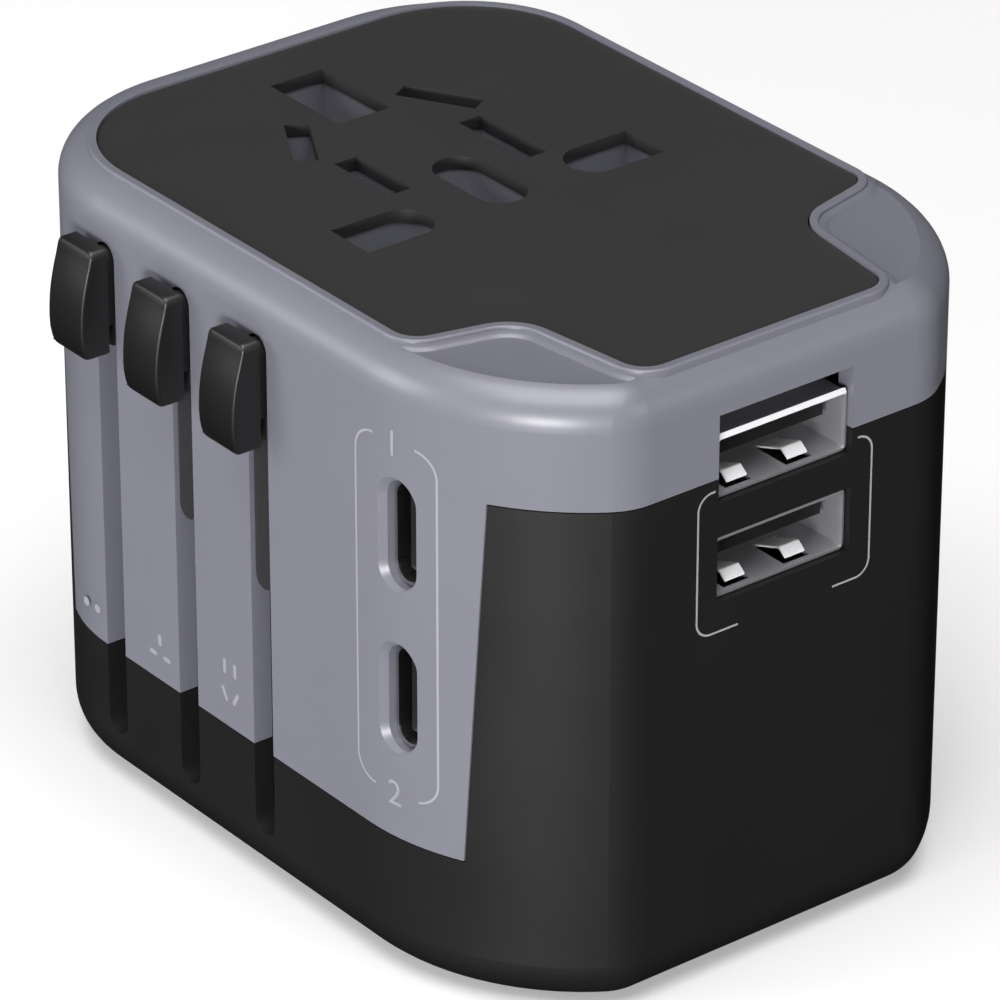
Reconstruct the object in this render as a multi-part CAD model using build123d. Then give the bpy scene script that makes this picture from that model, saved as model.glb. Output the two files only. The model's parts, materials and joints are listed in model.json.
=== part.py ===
from build123d import *
import os
from math import atan2, cos, degrees, radians, sin

# Universal travel adapter: a two-colour case with a mixed socket on top, two USB-A and two USB-C
# ports, and three sliding plugs (round-pin, rectangular three-pin, turning flat-blade) worked by knobs.
#
# Frame: millimetres, +Z up out of the socket face, -Y is the face with the knobs, +X the USB-A face.
# The origin is the middle of the underside.

# ---- case ---------------------------------------------------------------------------------
LENGTH = 71.0
WIDTH = 52.4
HEIGHT = 55.0
CORNER_R = 16.0        # far corners
PORT_WIDE_R = 21.5     # port-side corners: a wide arc from the knob face, then a tight one
PORT_TIGHT_R = 5.5
PORT_WIDE_ANGLE = 57.0
WALL = 1.8
FLOOR = 1.8
DECK = 3.3             # underside of the upper shell's top wall, below the rim
BOTTOM_R = 4.0
SHOULDER_R = 3.2
SHOULDER_DROP = 0.3    # outer case top below the raised rim
LEAF_DROP = 0.6        # shallow recess beside each port-side corner, below the rim
LEAF_INSET = 2.35
CAP_H = 10.2           # height of the upper shell above the seam
SEAM = 0.1             # gap along every line where the two shells meet
LIP_DEPTH = 1.5
LIP_T = 0.8
FIT = 0.15             # clearance round every drop-in piece
APRON_LOW_Z = 12.6
APRON_LOW_INSET = 9.5
APRON_HIGH_INSET = 7.8

HALF_L = LENGTH / 2
HALF_W = WIDTH / 2
FAR = 2 * LENGTH       # longer than the case, for cutters that run right through
PART_Z = HEIGHT - CAP_H
SHOULDER_Z = HEIGHT - SHOULDER_DROP
LEAF_Z = HEIGHT - LEAF_DROP
DECK_Z = HEIGHT - DECK

# ---- socket plate -------------------------------------------------------------------------
PLATE_T = 1.1
PLATE_DROP = 0.2       # plate top below the rim
PLATE_MARGIN_FAR = 4.6
PLATE_MARGIN_PORT = 2.5
PLATE_MARGIN_SIDE = 3.25
PLATE_CORNER_R = 11.0
NOTCH_LEN = 12.9       # notch cut from each port-side corner
NOTCH_DEPTH = 9.05
NOTCH_R = 4.5
NOTCH_LEAN = 2.2
NOTCH_RISE = 1.7
TIP_R = 2.2
RIM_W = 0.9
RIM_EDGE_R = 0.2
FLANK_W = 1.1

PLATE_LOW_X = PLATE_MARGIN_FAR - HALF_L
PLATE_HIGH_X = HALF_L - PLATE_MARGIN_PORT
PLATE_HALF_Y = HALF_W - PLATE_MARGIN_SIDE
NOTCH_X = PLATE_HIGH_X - NOTCH_LEN
NOTCH_Y = PLATE_HALF_Y - NOTCH_DEPTH
PLATE_TOP_Z = HEIGHT - PLATE_DROP
PLATE_LOW_Z = PLATE_TOP_Z - PLATE_T

# ---- socket holes -------------------------------------------------------------------------
SOCKET_Y = -1.2        # middle of the hole pattern
EARTH_INSET = 14.3
EARTH_LEN = 9.4
EARTH_W = 5.3
EARTH_TO_MAIN = 22.6
MAIN_HALF_PITCH = 11.1
MAIN_LEN = 7.8
MAIN_W = 5.0
MAIN_END_R = 2.4
US_HALF_PITCH = 6.35
US_SLOT_W = 2.2
US_SLOT_SETBACK = 12.1
US_LONG = 8.7
US_SHORT = 7.4
AUS_SETBACK = 17.0
AUS_HALF_PITCH = 7.1
AUS_LEN = 7.1
AUS_W = 2.1
AUS_ANGLE = 30.0
ROUND_SETBACK = 2.55
ROUND_LEN = 9.8
ROUND_W = 4.5

EARTH_X = EARTH_INSET - HALF_L
MAIN_X = EARTH_X + EARTH_TO_MAIN
US_LOW_X = MAIN_X - US_SLOT_SETBACK
US_SHORT_X = US_LOW_X + US_SHORT
US_LONG_X = US_LOW_X + US_LONG
AUS_X = MAIN_X - AUS_SETBACK
ROUND_X = MAIN_X - ROUND_SETBACK

# ---- slots and sliders --------------------------------------------------------------------
SLOT_W = 2.6
SLOT_LOW_Z = 4.7
SLOT_TOP_DROP = 4.8
SLOT_INSET = 17.4
SLOT_PITCH = 10.3
EU_TRAVEL = 21.5
UK_TRAVEL = 24.2
US_TRAVEL = 22.2
BAR_T = 5.0
BAR_REST = 2.1         # underside of a bar above the origin when its plug is fully out
ARM_W = 4.4
SPINE_W = 4.0
SPINE_T = 3.4
SPINE_GAP = 0.2
TONGUE_INSET = 0.35
TONGUE_SIDE_GAP = 0.2
TONGUE_END_GAP = 0.4
BOSS_MARGIN = 1.0
PIN_HEAD = 0.9
HOLE_GAP = 0.3         # clearance of each pin in the floor

SLOT_HIGH_Z = HEIGHT - SLOT_TOP_DROP
EU_SLOT_X = SLOT_INSET - HALF_L
UK_SLOT_X = EU_SLOT_X + SLOT_PITCH
US_SLOT_X = UK_SLOT_X + SLOT_PITCH
EU_BAR_Z = BAR_REST + EU_TRAVEL
UK_BAR_Z = BAR_REST + UK_TRAVEL
US_BAR_Z = BAR_REST + US_TRAVEL
SPINE_FRONT = WALL + SPINE_GAP - HALF_W
SPINE_Y = (SPINE_FRONT, SPINE_FRONT + SPINE_T)
TONGUE_Y = TONGUE_INSET - HALF_W

# ---- knobs --------------------------------------------------------------------------------
KNOB_W = 4.7
KNOB_RIGHT = 1.5       # cap edge to the right of its slot's middle
KNOB_H = 9.5
KNOB_RISE = 0.2        # cap top above the end of its slot
KNOB_BELLY_UP = 3.7
KNOB_BACK = 0.8        # gap between the cap and the case
KNOB_BOTTOM_OUT = 3.5
KNOB_TOP_OUT = 2.3
KNOB_EDGE_R = 0.35
KNOB_PRESS = 0.6
STEM_SLOT_GAP = 0.35
STEM_SIDE_GAP = 0.15
STEM_TOP_GAP = 0.3
STEM_UP = 2.5          # stem underside above the cap's
STEM_DEPTH = 3.0
KNOB_POCKET_DEPTH = 4.5
KNOB_SPRING_R = 0.7
KNOB_SPRING_TURNS = 3
WIRE_R = 0.12

KNOB_HIGH_Z = SLOT_HIGH_Z + KNOB_RISE
KNOB_LOW_Z = KNOB_HIGH_Z - KNOB_H
KNOB_BELLY_Z = KNOB_LOW_Z + KNOB_BELLY_UP
STEM_LOW_Z = KNOB_LOW_Z + STEM_UP
STEM_HALF = SLOT_W / 2 - STEM_SLOT_GAP
STEM_END_Y = STEM_DEPTH - HALF_W
KNOB_POCKET_Y = KNOB_POCKET_DEPTH - HALF_W

# ---- plugs --------------------------------------------------------------------------------
EU_PIN_INSET = 8.5
EU_HALF_PITCH = 9.5
EU_PIN_R = 2.0
EU_CORE_R = 1.4
EU_PIN_OUT = 19.0
EU_BARE = 9.0          # bare metal at the tip, below the sleeve
EU_TIP_R = 1.2
EU_BEND_INSET = 11.5
EU_BEND_DEPTH = 7.0
UK_EARTH_SHIFT = 3.0   # plug's earth pin from the socket's earth hole
UK_EARTH_TO_MAIN = 22.23
UK_HALF_PITCH = 11.11
UK_EARTH_L = 7.95
UK_PIN_T = 3.97
UK_PIN_W = 6.35
UK_EARTH_OUT = 22.7
UK_PIN_OUT = 17.7
UK_BARE = 8.2
UK_TIP = 0.9
SLEEVE_T = 0.6
US_BLADE_SHIFT = 7.97  # blades from the rectangular line pins
US_BLADE_W = 6.35
US_BLADE_T = 1.55
US_BLADE_OUT = 17.0
US_BLADE_HOLE_R = 1.55
US_BLADE_HOLE_UP = 4.6
US_BLADE_TIP = 0.45
BLADE_TURN = 30.0
FAN_STEPS = 6
STUD_R = 2.0
STUD_FIT = 0.05
STUD_HEAD_R = 2.7
STUD_HEAD_T = 0.9
BLADE_BAR_GAP = 0.2

EU_PIN_X = EU_PIN_INSET - HALF_L
EU_BEND = (EU_BEND_INSET - HALF_L, EU_BEND_DEPTH - HALF_W)
UK_EARTH_X = EARTH_X + UK_EARTH_SHIFT
UK_MAIN_X = UK_EARTH_X + UK_EARTH_TO_MAIN
US_BLADE_X = UK_MAIN_X + US_BLADE_SHIFT

# ---- ports --------------------------------------------------------------------------------
USB_C_INSET = 15.2
USB_C_DROPS = (29.7, 15.2)
USB_C_W = 3.2
USB_C_H = 9.0
USB_C_DEPTH = 8.4
USB_C_MARGIN = 0.15
USB_C_BEVEL = 0.6
USB_C_TONGUE_T = 0.7
USB_C_TONGUE_H = 6.7
USB_A_Y = 0.15
USB_A_W = 13.5
USB_A_H = 5.75
USB_A_DROPS = (21.05, 12.3)
USB_A_HOOD_DROP = 4.7
USB_A_GAP = 0.1
PORT_RECESS = 0.6      # USB-A mouths behind the face
USB_C_RECESS = 1.2
SHEET_T = 0.3
TONGUE_A_T = 1.9
TONGUE_A_SHORT = 1.6
TONGUE_A_SIDE = 0.8
LEAF_A_W = 2.4
LEAF_A_LEN = 7.0
LEAF_A_Y = 3.3
LEAF_A_BACK = 2.2      # window set back from the mouth
BOARD_T = 1.4
BOARD_MARGINS = (3.8, 5.2)
BOARD_LOW_Z = 4.0
BOARD_DROP = 4.0

USB_C_X = HALF_L - USB_C_INSET
USB_C_Z = tuple(HEIGHT - drop for drop in USB_C_DROPS)
USB_C_FACE_Y = USB_C_RECESS - HALF_W
USB_C_TAIL_Y = USB_C_FACE_Y + USB_C_DEPTH
USB_A_LOW_Z = tuple(HEIGHT - drop for drop in USB_A_DROPS)
USB_A_HOOD_Z = HEIGHT - USB_A_HOOD_DROP
USB_A_FACE_X = HALF_L - PORT_RECESS
BOARD_FACE_X = USB_C_X - USB_C_W / 2
BOARD_X = (BOARD_FACE_X - BOARD_T, BOARD_FACE_X)
BOARD_Y = (BOARD_MARGINS[0] - HALF_W, HALF_W - BOARD_MARGINS[1])
BOARD_Z = (BOARD_LOW_Z, HEIGHT - BOARD_DROP)

# ---- socket interior ----------------------------------------------------------------------
GUIDE_DROP = 5.6
GUIDE_FLANGE = 1.2
GUIDE_MARGINS_X = (6.8, 5.6)
GUIDE_MARGINS_Y = (17.4, 16.8)
CARRIER_GAP = 0.4      # carrier above the raised sliders and below the shutter
CARRIER_INSET = 6.5
CARRIER_BOARD_GAP = 0.5
CARRIER_MARGINS_Y = (0.3, 1.0)
CARRIER_FLOOR = 1.4
CARRIER_END = 1.5      # wall that stands up at the far end
WELL_GROW = 1.3
SLANT_UP = 3.4
CONTACT_T = 0.5
CONTACT_DROP = 2.8
CONTACT_GAP = 0.35
LEAF_HALF = 2.6
TAIL_W = 3.4
TAIL_LOW_Z = 6.0
TAIL_SETBACK = 4.4
EARTH_TAB = (3.2, 6.6)
EARTH_TAIL_OUT = 7.4
SHUTTER_GAP = 0.2
SHUTTER_TRAVEL = 6.0
SHUTTER_T = 1.2
SHUTTER_BAR_T = 2.0
SHUTTER_REACH = (-3.0, 4.2, 8.0)   # pad start, bar start and bar end from the line holes
SHUTTER_MARGIN = 0.9
SHUTTER_STOP_T = 1.0
SHUTTER_SPRING_Y = 10.0
SHUTTER_SPRING_R = 0.7
SHUTTER_SPRING_TURNS = 9
SHUTTER_POCKET = 2.4
SHUTTER_BEVEL = 0.8

GUIDE_LOW_Z = HEIGHT - GUIDE_DROP
GUIDE_X = (EARTH_X - GUIDE_MARGINS_X[0], MAIN_X + GUIDE_MARGINS_X[1])
GUIDE_Y = (SOCKET_Y - GUIDE_MARGINS_Y[0], SOCKET_Y + GUIDE_MARGINS_Y[1])
SHUTTER_TOP_Z = GUIDE_LOW_Z - SHUTTER_GAP
SHUTTER_PAD_X = (MAIN_X + SHUTTER_REACH[0], MAIN_X + SHUTTER_REACH[1])
SHUTTER_BAR_X = (MAIN_X + SHUTTER_REACH[1], MAIN_X + SHUTTER_REACH[2])
CARRIER_Z = (UK_BAR_Z + BAR_T + PIN_HEAD + CARRIER_GAP, SHUTTER_TOP_Z - SHUTTER_BAR_T - CARRIER_GAP)
CARRIER_X = (CARRIER_INSET - HALF_L, BOARD_X[0] - CARRIER_BOARD_GAP)
CARRIER_Y = (GUIDE_Y[0] - CARRIER_MARGINS_Y[0], GUIDE_Y[1] + CARRIER_MARGINS_Y[1])
SHUTTER_STOP_X = CARRIER_X[1] - SHUTTER_STOP_T
SLANT_LOW_Z = CARRIER_Z[0] + SLANT_UP
CONTACT_TOP_Z = CARRIER_Z[1] - CONTACT_DROP
TAIL_X = MAIN_X - TAIL_SETBACK
EARTH_TAB_X = (EARTH_X + EARTH_TAB[0], EARTH_X + EARTH_TAB[1])
EARTH_TAIL_Y = SOCKET_Y + EARTH_TAIL_OUT

# ---- electrics and fixings ----------------------------------------------------------------
CORE_DEPTH = 12.3
CORE_Y = (-11.0, 3.0)
CORE_Z = (7.0, 23.0)
COIL_GROW = 1.2
CAPACITOR_R = 4.0
CAPACITOR_Y = 8.5
CAPACITOR_Z = (9.0, 25.0)
CAPACITOR_EDGE = 0.6
FUSE_X = -12.0
FUSE_Y = 14.0
FUSE_R = 3.15
FUSE_TUBE_R = 2.85
FUSE_LOW_Z = 3.2
FUSE_LEN = 25.4
FUSE_CAP_LEN = 5.5
FUSE_SPRING_R = 2.2
FUSE_SPRING_TURNS = 4
FUSE_RIM_R = 6.6
FUSE_RIM_H = 5.5
LID_R = 5.0
LID_T = 1.4
LID_GAP = 0.3
HUB_R = 3.8
HUB_BORE_R = 3.3
LUG_W = 2.2
LUG_T = 1.0
LUG_REACH = 5.2
COIN_LEN = 7.6
COIN_W = 1.4
COIN_DEPTH = 0.7
FAR_SCREW_INSET = (14.5, 5.8)
PORT_SCREW_INSET = (6.9, 10.8)
PILLAR_R = 3.1
PILLAR_BORE_R = 2.35
PILLAR_DROP = 4.8
PILLAR_SHELF = 1.6
SCREW_HEAD_R = 2.0
SCREW_HEAD_T = 1.5
SCREW_R = 1.1
SCREW_LEN = 9.0
SCREW_GAP = 0.3
BOSS_R = 2.8

CORE_X = (BOARD_FACE_X, BOARD_FACE_X + CORE_DEPTH)
FUSE_Z = (FUSE_LOW_Z, FUSE_LOW_Z + FUSE_LEN)
PILLAR_TOP_Z = PART_Z - PILLAR_DROP
PORT_SCREW_X = HALF_L - PORT_SCREW_INSET[0]
PORT_SCREW_Y = HALF_W - PORT_SCREW_INSET[1]
SCREWS = (
    (FAR_SCREW_INSET[0] - HALF_L, HALF_W - FAR_SCREW_INSET[1]),
    (PORT_SCREW_X, PORT_SCREW_Y),
    (PORT_SCREW_X, -PORT_SCREW_Y),
)


# ---- helpers ------------------------------------------------------------------------------
def block(x, y, z):
    """Box between its low and high ends along X, Y and Z."""
    spans = (x, y, z)
    sizes = [high - low for low, high in spans]
    middle = [(high + low) / 2 for low, high in spans]
    return Pos(*middle) * Box(*sizes)


def around(centre, half):
    """Low and high end of a span from its middle and half its size."""
    return (centre - half, centre + half)


def prism(sketch, z):
    """Plan sketch raised between two heights."""
    low, high = z
    return extrude(Pos(0, 0, low) * sketch, high - low)


def rod(radius, x, y, z):
    """Upright cylinder between two heights."""
    return prism(Pos(x, y) * Circle(radius), z)


def front_prism(sketch, y):
    """Sketch drawn on the knob face, as X and Z, given a depth along Y."""
    low, high = y
    return extrude(Plane.XZ.offset(-high) * sketch, high - low)


def upright_slot(x, z, width):
    """Vertical slot outline with fully rounded ends, drawn on the knob face."""
    low, high = z
    return Pos(x, (low + high) / 2) * Rot(0, 0, 90) * SlotOverall(high - low, width)


def arm(start, end, z):
    """Flat bar with rounded ends between two plan points."""
    run = Vector(*end) - Vector(*start)
    angle = degrees(atan2(run.Y, run.X))
    middle = (Vector(*start) + Vector(*end)) / 2
    plan = SlotCenterToCenter(run.length, ARM_W)
    return prism(Pos(middle.X, middle.Y) * Rot(0, 0, angle) * plan, z)


def coil(radius, length, turns):
    """Round-wire compression spring along +Z, from the origin."""
    rise = length - 2 * WIRE_R
    path = Pos(0, 0, WIRE_R) * Helix(rise / turns, rise, radius)
    start = Plane(origin=path @ 0, z_dir=path % 0)
    return sweep(start * Circle(WIRE_R), path)


def port_corner(inset, side):
    """Two arcs that turn a port-side corner, from the long face to the end face."""
    wide_r = PORT_WIDE_R - inset
    tight_r = PORT_TIGHT_R - inset
    angle = radians(PORT_WIDE_ANGLE)
    step = wide_r - tight_r
    end_x = HALF_L - inset
    tight_x = end_x - tight_r
    wide_x = tight_x - step * sin(angle)
    wide_y = HALF_W - PORT_WIDE_R
    tight_y = wide_y + step * cos(angle)

    def on_arc(x, y, radius, turn):
        return (x + radius * sin(turn), side * (y + radius * cos(turn)))

    start = on_arc(wide_x, wide_y, wide_r, 0)
    halfway = on_arc(wide_x, wide_y, wide_r, angle / 2)
    meet = on_arc(wide_x, wide_y, wide_r, angle)
    bend = on_arc(tight_x, tight_y, tight_r, (angle + radians(90)) / 2)
    end = on_arc(tight_x, tight_y, tight_r, radians(90))
    return start, [ThreePointArc(start, halfway, meet), ThreePointArc(meet, bend, end)], end


def case_plan(inset=0.0):
    """Plan of the case, drawn in by a distance: round far corners and two-arc port corners."""
    far_r = CORNER_R - inset
    low_x = inset - HALF_L
    half_y = HALF_W - inset
    arc_x = low_x + far_r
    arc_y = half_y - far_r
    bend = far_r * sin(radians(45))
    top_start, top_arcs, top_end = port_corner(inset, 1)
    low_start, low_arcs, low_end = port_corner(inset, -1)
    edges = [
        Line((arc_x, -half_y), low_start),
        *low_arcs,
        Line(low_end, top_end),
        *top_arcs,
        Line(top_start, (arc_x, half_y)),
        ThreePointArc((arc_x, half_y), (arc_x - bend, arc_y + bend), (low_x, arc_y)),
        Line((low_x, arc_y), (low_x, -arc_y)),
        ThreePointArc((low_x, -arc_y), (arc_x - bend, -arc_y - bend), (arc_x, -half_y)),
    ]
    return make_face(edges)


def case_ring(outer, inner, z):
    """Wall that follows the case between two insets."""
    return prism(case_plan(outer), z) - prism(case_plan(inner), z)


def plate_plan(grow=0.0):
    """Plan of the socket plate: two round corners and two notched ones, grown by a distance."""
    tip_y = NOTCH_Y - NOTCH_RISE
    edge_x = NOTCH_X - NOTCH_LEAN
    shape = Polygon(
        (PLATE_LOW_X, -PLATE_HALF_Y),
        (edge_x, -PLATE_HALF_Y),
        (NOTCH_X, -NOTCH_Y),
        (PLATE_HIGH_X, -tip_y),
        (PLATE_HIGH_X, tip_y),
        (NOTCH_X, NOTCH_Y),
        (edge_x, PLATE_HALF_Y),
        (PLATE_LOW_X, PLATE_HALF_Y),
        align=None,
    )
    far_corners = [v for v in shape.vertices() if v.X < 0]
    shape = fillet(far_corners, PLATE_CORNER_R)
    inner_corners = [v for v in shape.vertices() if abs(v.X - NOTCH_X) < SEAM]
    shape = fillet(inner_corners, NOTCH_R)
    tips = [v for v in shape.vertices() if is_tip(v, edge_x, tip_y)]
    shape = fillet(tips, TIP_R)
    return offset(shape, grow) if grow else shape


def is_tip(vertex, edge_x, tip_y):
    """True for the four outer corners beside the notches."""
    on_side = abs(vertex.X - edge_x) < SEAM and abs(abs(vertex.Y) - PLATE_HALF_Y) < SEAM
    on_end = abs(vertex.X - PLATE_HIGH_X) < SEAM and abs(abs(vertex.Y) - tip_y) < SEAM
    return on_side or on_end


def earth_plan(grow=0.0):
    """Upright rectangular hole for the earth pin."""
    return Pos(EARTH_X, SOCKET_Y) * Rectangle(EARTH_LEN + 2 * grow, EARTH_W + 2 * grow)


def main_y(side):
    """Middle of a line-pin hole."""
    return SOCKET_Y + side * MAIN_HALF_PITCH


def flat_y(side):
    """Middle of a flat-blade hole."""
    return SOCKET_Y + side * US_HALF_PITCH


def main_plan(side, grow=0.0):
    """Line-pin hole: square towards the edge of the case, rounded towards the middle."""
    hole = Rectangle(MAIN_W + 2 * grow, MAIN_LEN + 2 * grow)
    inner = [v for v in hole.vertices() if v.Y * side < 0]
    return Pos(MAIN_X, main_y(side)) * fillet(inner, MAIN_END_R)


def flat_plan(side, grow=0.0):
    """Straight slot for a flat blade; the one on the +Y side is longer."""
    high = US_LONG_X if side > 0 else US_SHORT_X
    slot = Rectangle(high - US_LOW_X + 2 * grow, US_SLOT_W + 2 * grow)
    return Pos((US_LOW_X + high) / 2, flat_y(side)) * slot


def slant_plan(side, grow=0.0):
    """Slanted slot for a turned flat blade."""
    slot = Rectangle(AUS_LEN + 2 * grow, AUS_W + 2 * grow)
    return Pos(AUS_X, SOCKET_Y + side * AUS_HALF_PITCH) * Rot(0, 0, side * AUS_ANGLE) * slot


def round_plan(grow=0.0):
    """Slot in the middle for a round pin."""
    return Pos(ROUND_X, SOCKET_Y) * SlotOverall(ROUND_LEN + 2 * grow, ROUND_W + 2 * grow)


def socket_plans(grow=0.0):
    """Every hole in the socket face."""
    plans = [earth_plan(grow), round_plan(grow)]
    for side in (-1, 1):
        plans += [main_plan(side, grow), flat_plan(side, grow), slant_plan(side, grow)]
    return plans


def guide_block(grow, z):
    """Rectangular block of the socket guide, grown sideways by a distance."""
    low_x, high_x = GUIDE_X
    low_y, high_y = GUIDE_Y
    return block((low_x - grow, high_x + grow), (low_y - grow, high_y + grow), z)


def apron(grow=0.0):
    """Skin on the knob face that narrows downward and wraps a little round both corners."""
    low_half = HALF_L - APRON_LOW_INSET
    high_half = HALF_L - APRON_HIGH_INSET
    low_z = APRON_LOW_Z - grow
    high_z = PART_Z + SEAM + grow
    front = Polygon(
        (-low_half - grow, low_z),
        (low_half + grow, low_z),
        (high_half + grow, high_z),
        (-high_half - grow, high_z),
        align=None,
    )
    skin = case_ring(-grow, WALL + grow, (0, HEIGHT))
    return skin & front_prism(front, (-WIDTH, -CORNER_R))


def knob_slots():
    """Cutters for the three vertical slots that the knobs run in."""
    return [
        front_prism(upright_slot(x, (SLOT_LOW_Z, SLOT_HIGH_Z), SLOT_W), (-WIDTH, SPINE_Y[1]))
        for x in (EU_SLOT_X, UK_SLOT_X, US_SLOT_X)
    ]


def usb_c_plan(z, grow=0.0):
    """Outline of a USB-C port, drawn on the knob face."""
    return upright_slot(USB_C_X, around(z, USB_C_H / 2 + grow), USB_C_W + 2 * grow)


def usb_c_cutter(z):
    """USB-C opening with a bevelled mouth."""
    face = -HALF_W
    opening = front_prism(usb_c_plan(z, USB_C_MARGIN), (face - WALL, face + 2 * WALL))
    inner = Plane.XZ.offset(-face - USB_C_BEVEL) * usb_c_plan(z, USB_C_MARGIN)
    outer = Plane.XZ.offset(-face + SEAM) * usb_c_plan(z, USB_C_MARGIN + USB_C_BEVEL + SEAM)
    return opening + loft([inner, outer])


def usb_a_cutters():
    """Lower USB-A opening, and the taller upper one that crosses the seam."""
    x = (HALF_L - 2 * WALL, LENGTH)
    y = around(USB_A_Y, USB_A_W / 2)
    low, high = USB_A_LOW_Z
    return [block(x, y, (low, low + USB_A_H)), block(x, y, (high, USB_A_HOOD_Z))]


# ---- case ---------------------------------------------------------------------------------
def make_upper_shell():
    """Cap with a raised rim round the plate, an apron down the knob face and screw bosses."""
    base_z = PART_Z + SEAM / 2
    cap = prism(case_plan(), (base_z, SHOULDER_Z))
    cap = fillet(cap.edges().group_by(Axis.Z)[-1], SHOULDER_R)
    flank = prism(plate_plan(RIM_W + FLANK_W), (DECK_Z, SHOULDER_Z))
    flank = fillet(flank.edges().group_by(Axis.Z)[-1], FLANK_W)
    leaves = prism(case_plan(LEAF_INSET), (LEAF_Z, FAR)) & block((0, LENGTH), (-WIDTH, WIDTH), (0, 2 * FAR))
    cap -= leaves - flank
    rim = prism(plate_plan(RIM_W), (DECK_Z, HEIGHT))
    cap += fillet(rim.edges().group_by(Axis.Z)[-1], RIM_EDGE_R)
    cap += apron()
    cap -= prism(case_plan(WALL), (0, DECK_Z))
    cap -= prism(plate_plan(FIT), (PLATE_LOW_Z, FAR))
    cap -= guide_block(FIT, (0, FAR))
    cap += seam_lip(base_z)
    for x, y in SCREWS:
        cap += rod(BOSS_R, x, y, (PILLAR_TOP_Z + SEAM, DECK_Z + SEAM))
        cap -= rod(SCREW_R, x, y, (0, DECK_Z - DECK))
    for cutter in knob_slots() + usb_a_cutters():
        cap -= cutter
    for z in USB_C_Z:
        cap -= usb_c_cutter(z)
    return cap


def seam_lip(base_z):
    """Lip that locates the upper shell inside the lower one, left out at the knobs and ports."""
    outer = WALL + SEAM
    lip = case_ring(outer, outer + LIP_T, (base_z - LIP_DEPTH, base_z))
    lip += case_ring(WALL - SEAM, outer + LIP_T, (base_z, base_z + LIP_DEPTH))
    lip -= block((-LENGTH, LENGTH), (-WIDTH, -CORNER_R), (0, FAR))
    lip -= block((0, LENGTH), around(USB_A_Y, USB_A_W / 2 + LIP_T), (0, FAR))
    return lip


def make_lower_shell():
    """Tub with screw pillars, board ribs, the fuse collar and the openings the plugs come out of."""
    tub = prism(case_plan(), (0, PART_Z - SEAM / 2))
    tub = fillet(tub.edges().group_by(Axis.Z)[0], BOTTOM_R)
    tub -= prism(case_plan(WALL), (FLOOR, FAR))
    tub -= apron(SEAM)
    for x, y in SCREWS:
        tub += rod(PILLAR_R, x, y, (FLOOR / 2, PILLAR_TOP_Z))
        tub -= rod(PILLAR_BORE_R, x, y, (-SEAM, PILLAR_TOP_Z - PILLAR_SHELF))
        tub -= rod(SCREW_R + SCREW_GAP, x, y, (0, FAR))
    low_y, high_y = BOARD_Y
    low_x, high_x = BOARD_X
    for y in (around(low_y + 2 * WALL, WALL / 2), around(high_y - 2 * WALL, WALL / 2)):
        tub += block((low_x - LIP_T, high_x + LIP_T), y, (FLOOR - SEAM, 2 * BOARD_Z[0]))
    tub -= block(BOARD_X, BOARD_Y, (BOARD_Z[0], FAR))
    tub += rod(FUSE_RIM_R, FUSE_X, FUSE_Y, (0, FUSE_RIM_H))
    tub -= rod(LID_R + LID_GAP, FUSE_X, FUSE_Y, (-SEAM, LID_T))
    tub -= rod(HUB_R + LID_GAP, FUSE_X, FUSE_Y, (0, FAR))
    tub -= block(around(FUSE_X, LUG_W / 2 + LID_GAP), around(FUSE_Y, LUG_REACH + LID_GAP), (0, FAR))
    for cutter in knob_slots() + usb_a_cutters() + floor_openings():
        tub -= cutter
    return tub


def floor_openings():
    """One hole in the floor for each pin, shaped to the pin with a clearance."""
    span = (-SEAM, FLOOR + SEAM)
    gap = 2 * HOLE_GAP
    openings = [prism(Pos(UK_EARTH_X, 0) * Rectangle(UK_EARTH_L + gap, UK_PIN_T + gap), span)]
    for side in (-1, 1):
        line_hole = Pos(UK_MAIN_X, side * UK_HALF_PITCH) * Rectangle(UK_PIN_T + gap, UK_PIN_W + gap)
        openings.append(prism(line_hole, span))
        openings.append(prism(fan_plan(side), span))
        openings.append(rod(EU_PIN_R + HOLE_GAP, EU_PIN_X, side * EU_HALF_PITCH, span))
    return openings


def fan_plan(side):
    """Plan that a flat blade sweeps as it turns from straight to slanted."""
    gap = 2 * HOLE_GAP
    blade = Rectangle(US_BLADE_W + gap, US_BLADE_T + gap)
    turned = [Rot(0, 0, side * BLADE_TURN * step / FAN_STEPS) * blade for step in range(FAN_STEPS + 1)]
    swept = turned[0]
    for shape in turned[1:]:
        swept += shape
    return Pos(US_BLADE_X, side * US_HALF_PITCH) * swept


def make_top_plate():
    """Thin plate with the socket holes."""
    plate = prism(plate_plan(), (PLATE_LOW_Z, PLATE_TOP_Z))
    for plan in socket_plans():
        plate -= prism(plan, (0, FAR))
    return plate


# ---- socket -------------------------------------------------------------------------------
def make_socket_guide():
    """Block whose walls carry on down from the holes; its flange sits under the deck."""
    guide = guide_block(0, (GUIDE_LOW_Z, PLATE_LOW_Z)) + guide_block(GUIDE_FLANGE, (GUIDE_LOW_Z, DECK_Z))
    for plan in socket_plans(SEAM):
        guide -= prism(plan, (0, FAR))
    return guide


def line_well(side, grow):
    """Plan of the well for one line contact: the pin hole and the blade slot run together."""
    bridge_x = (US_SHORT_X, MAIN_X - MAIN_W / 2)
    bridge = Rectangle(bridge_x[1] - bridge_x[0] + 2 * grow, US_SLOT_W + 2 * grow)
    return main_plan(side, grow) + flat_plan(side, grow) + Pos(sum(bridge_x) / 2, flat_y(side)) * bridge


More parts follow.
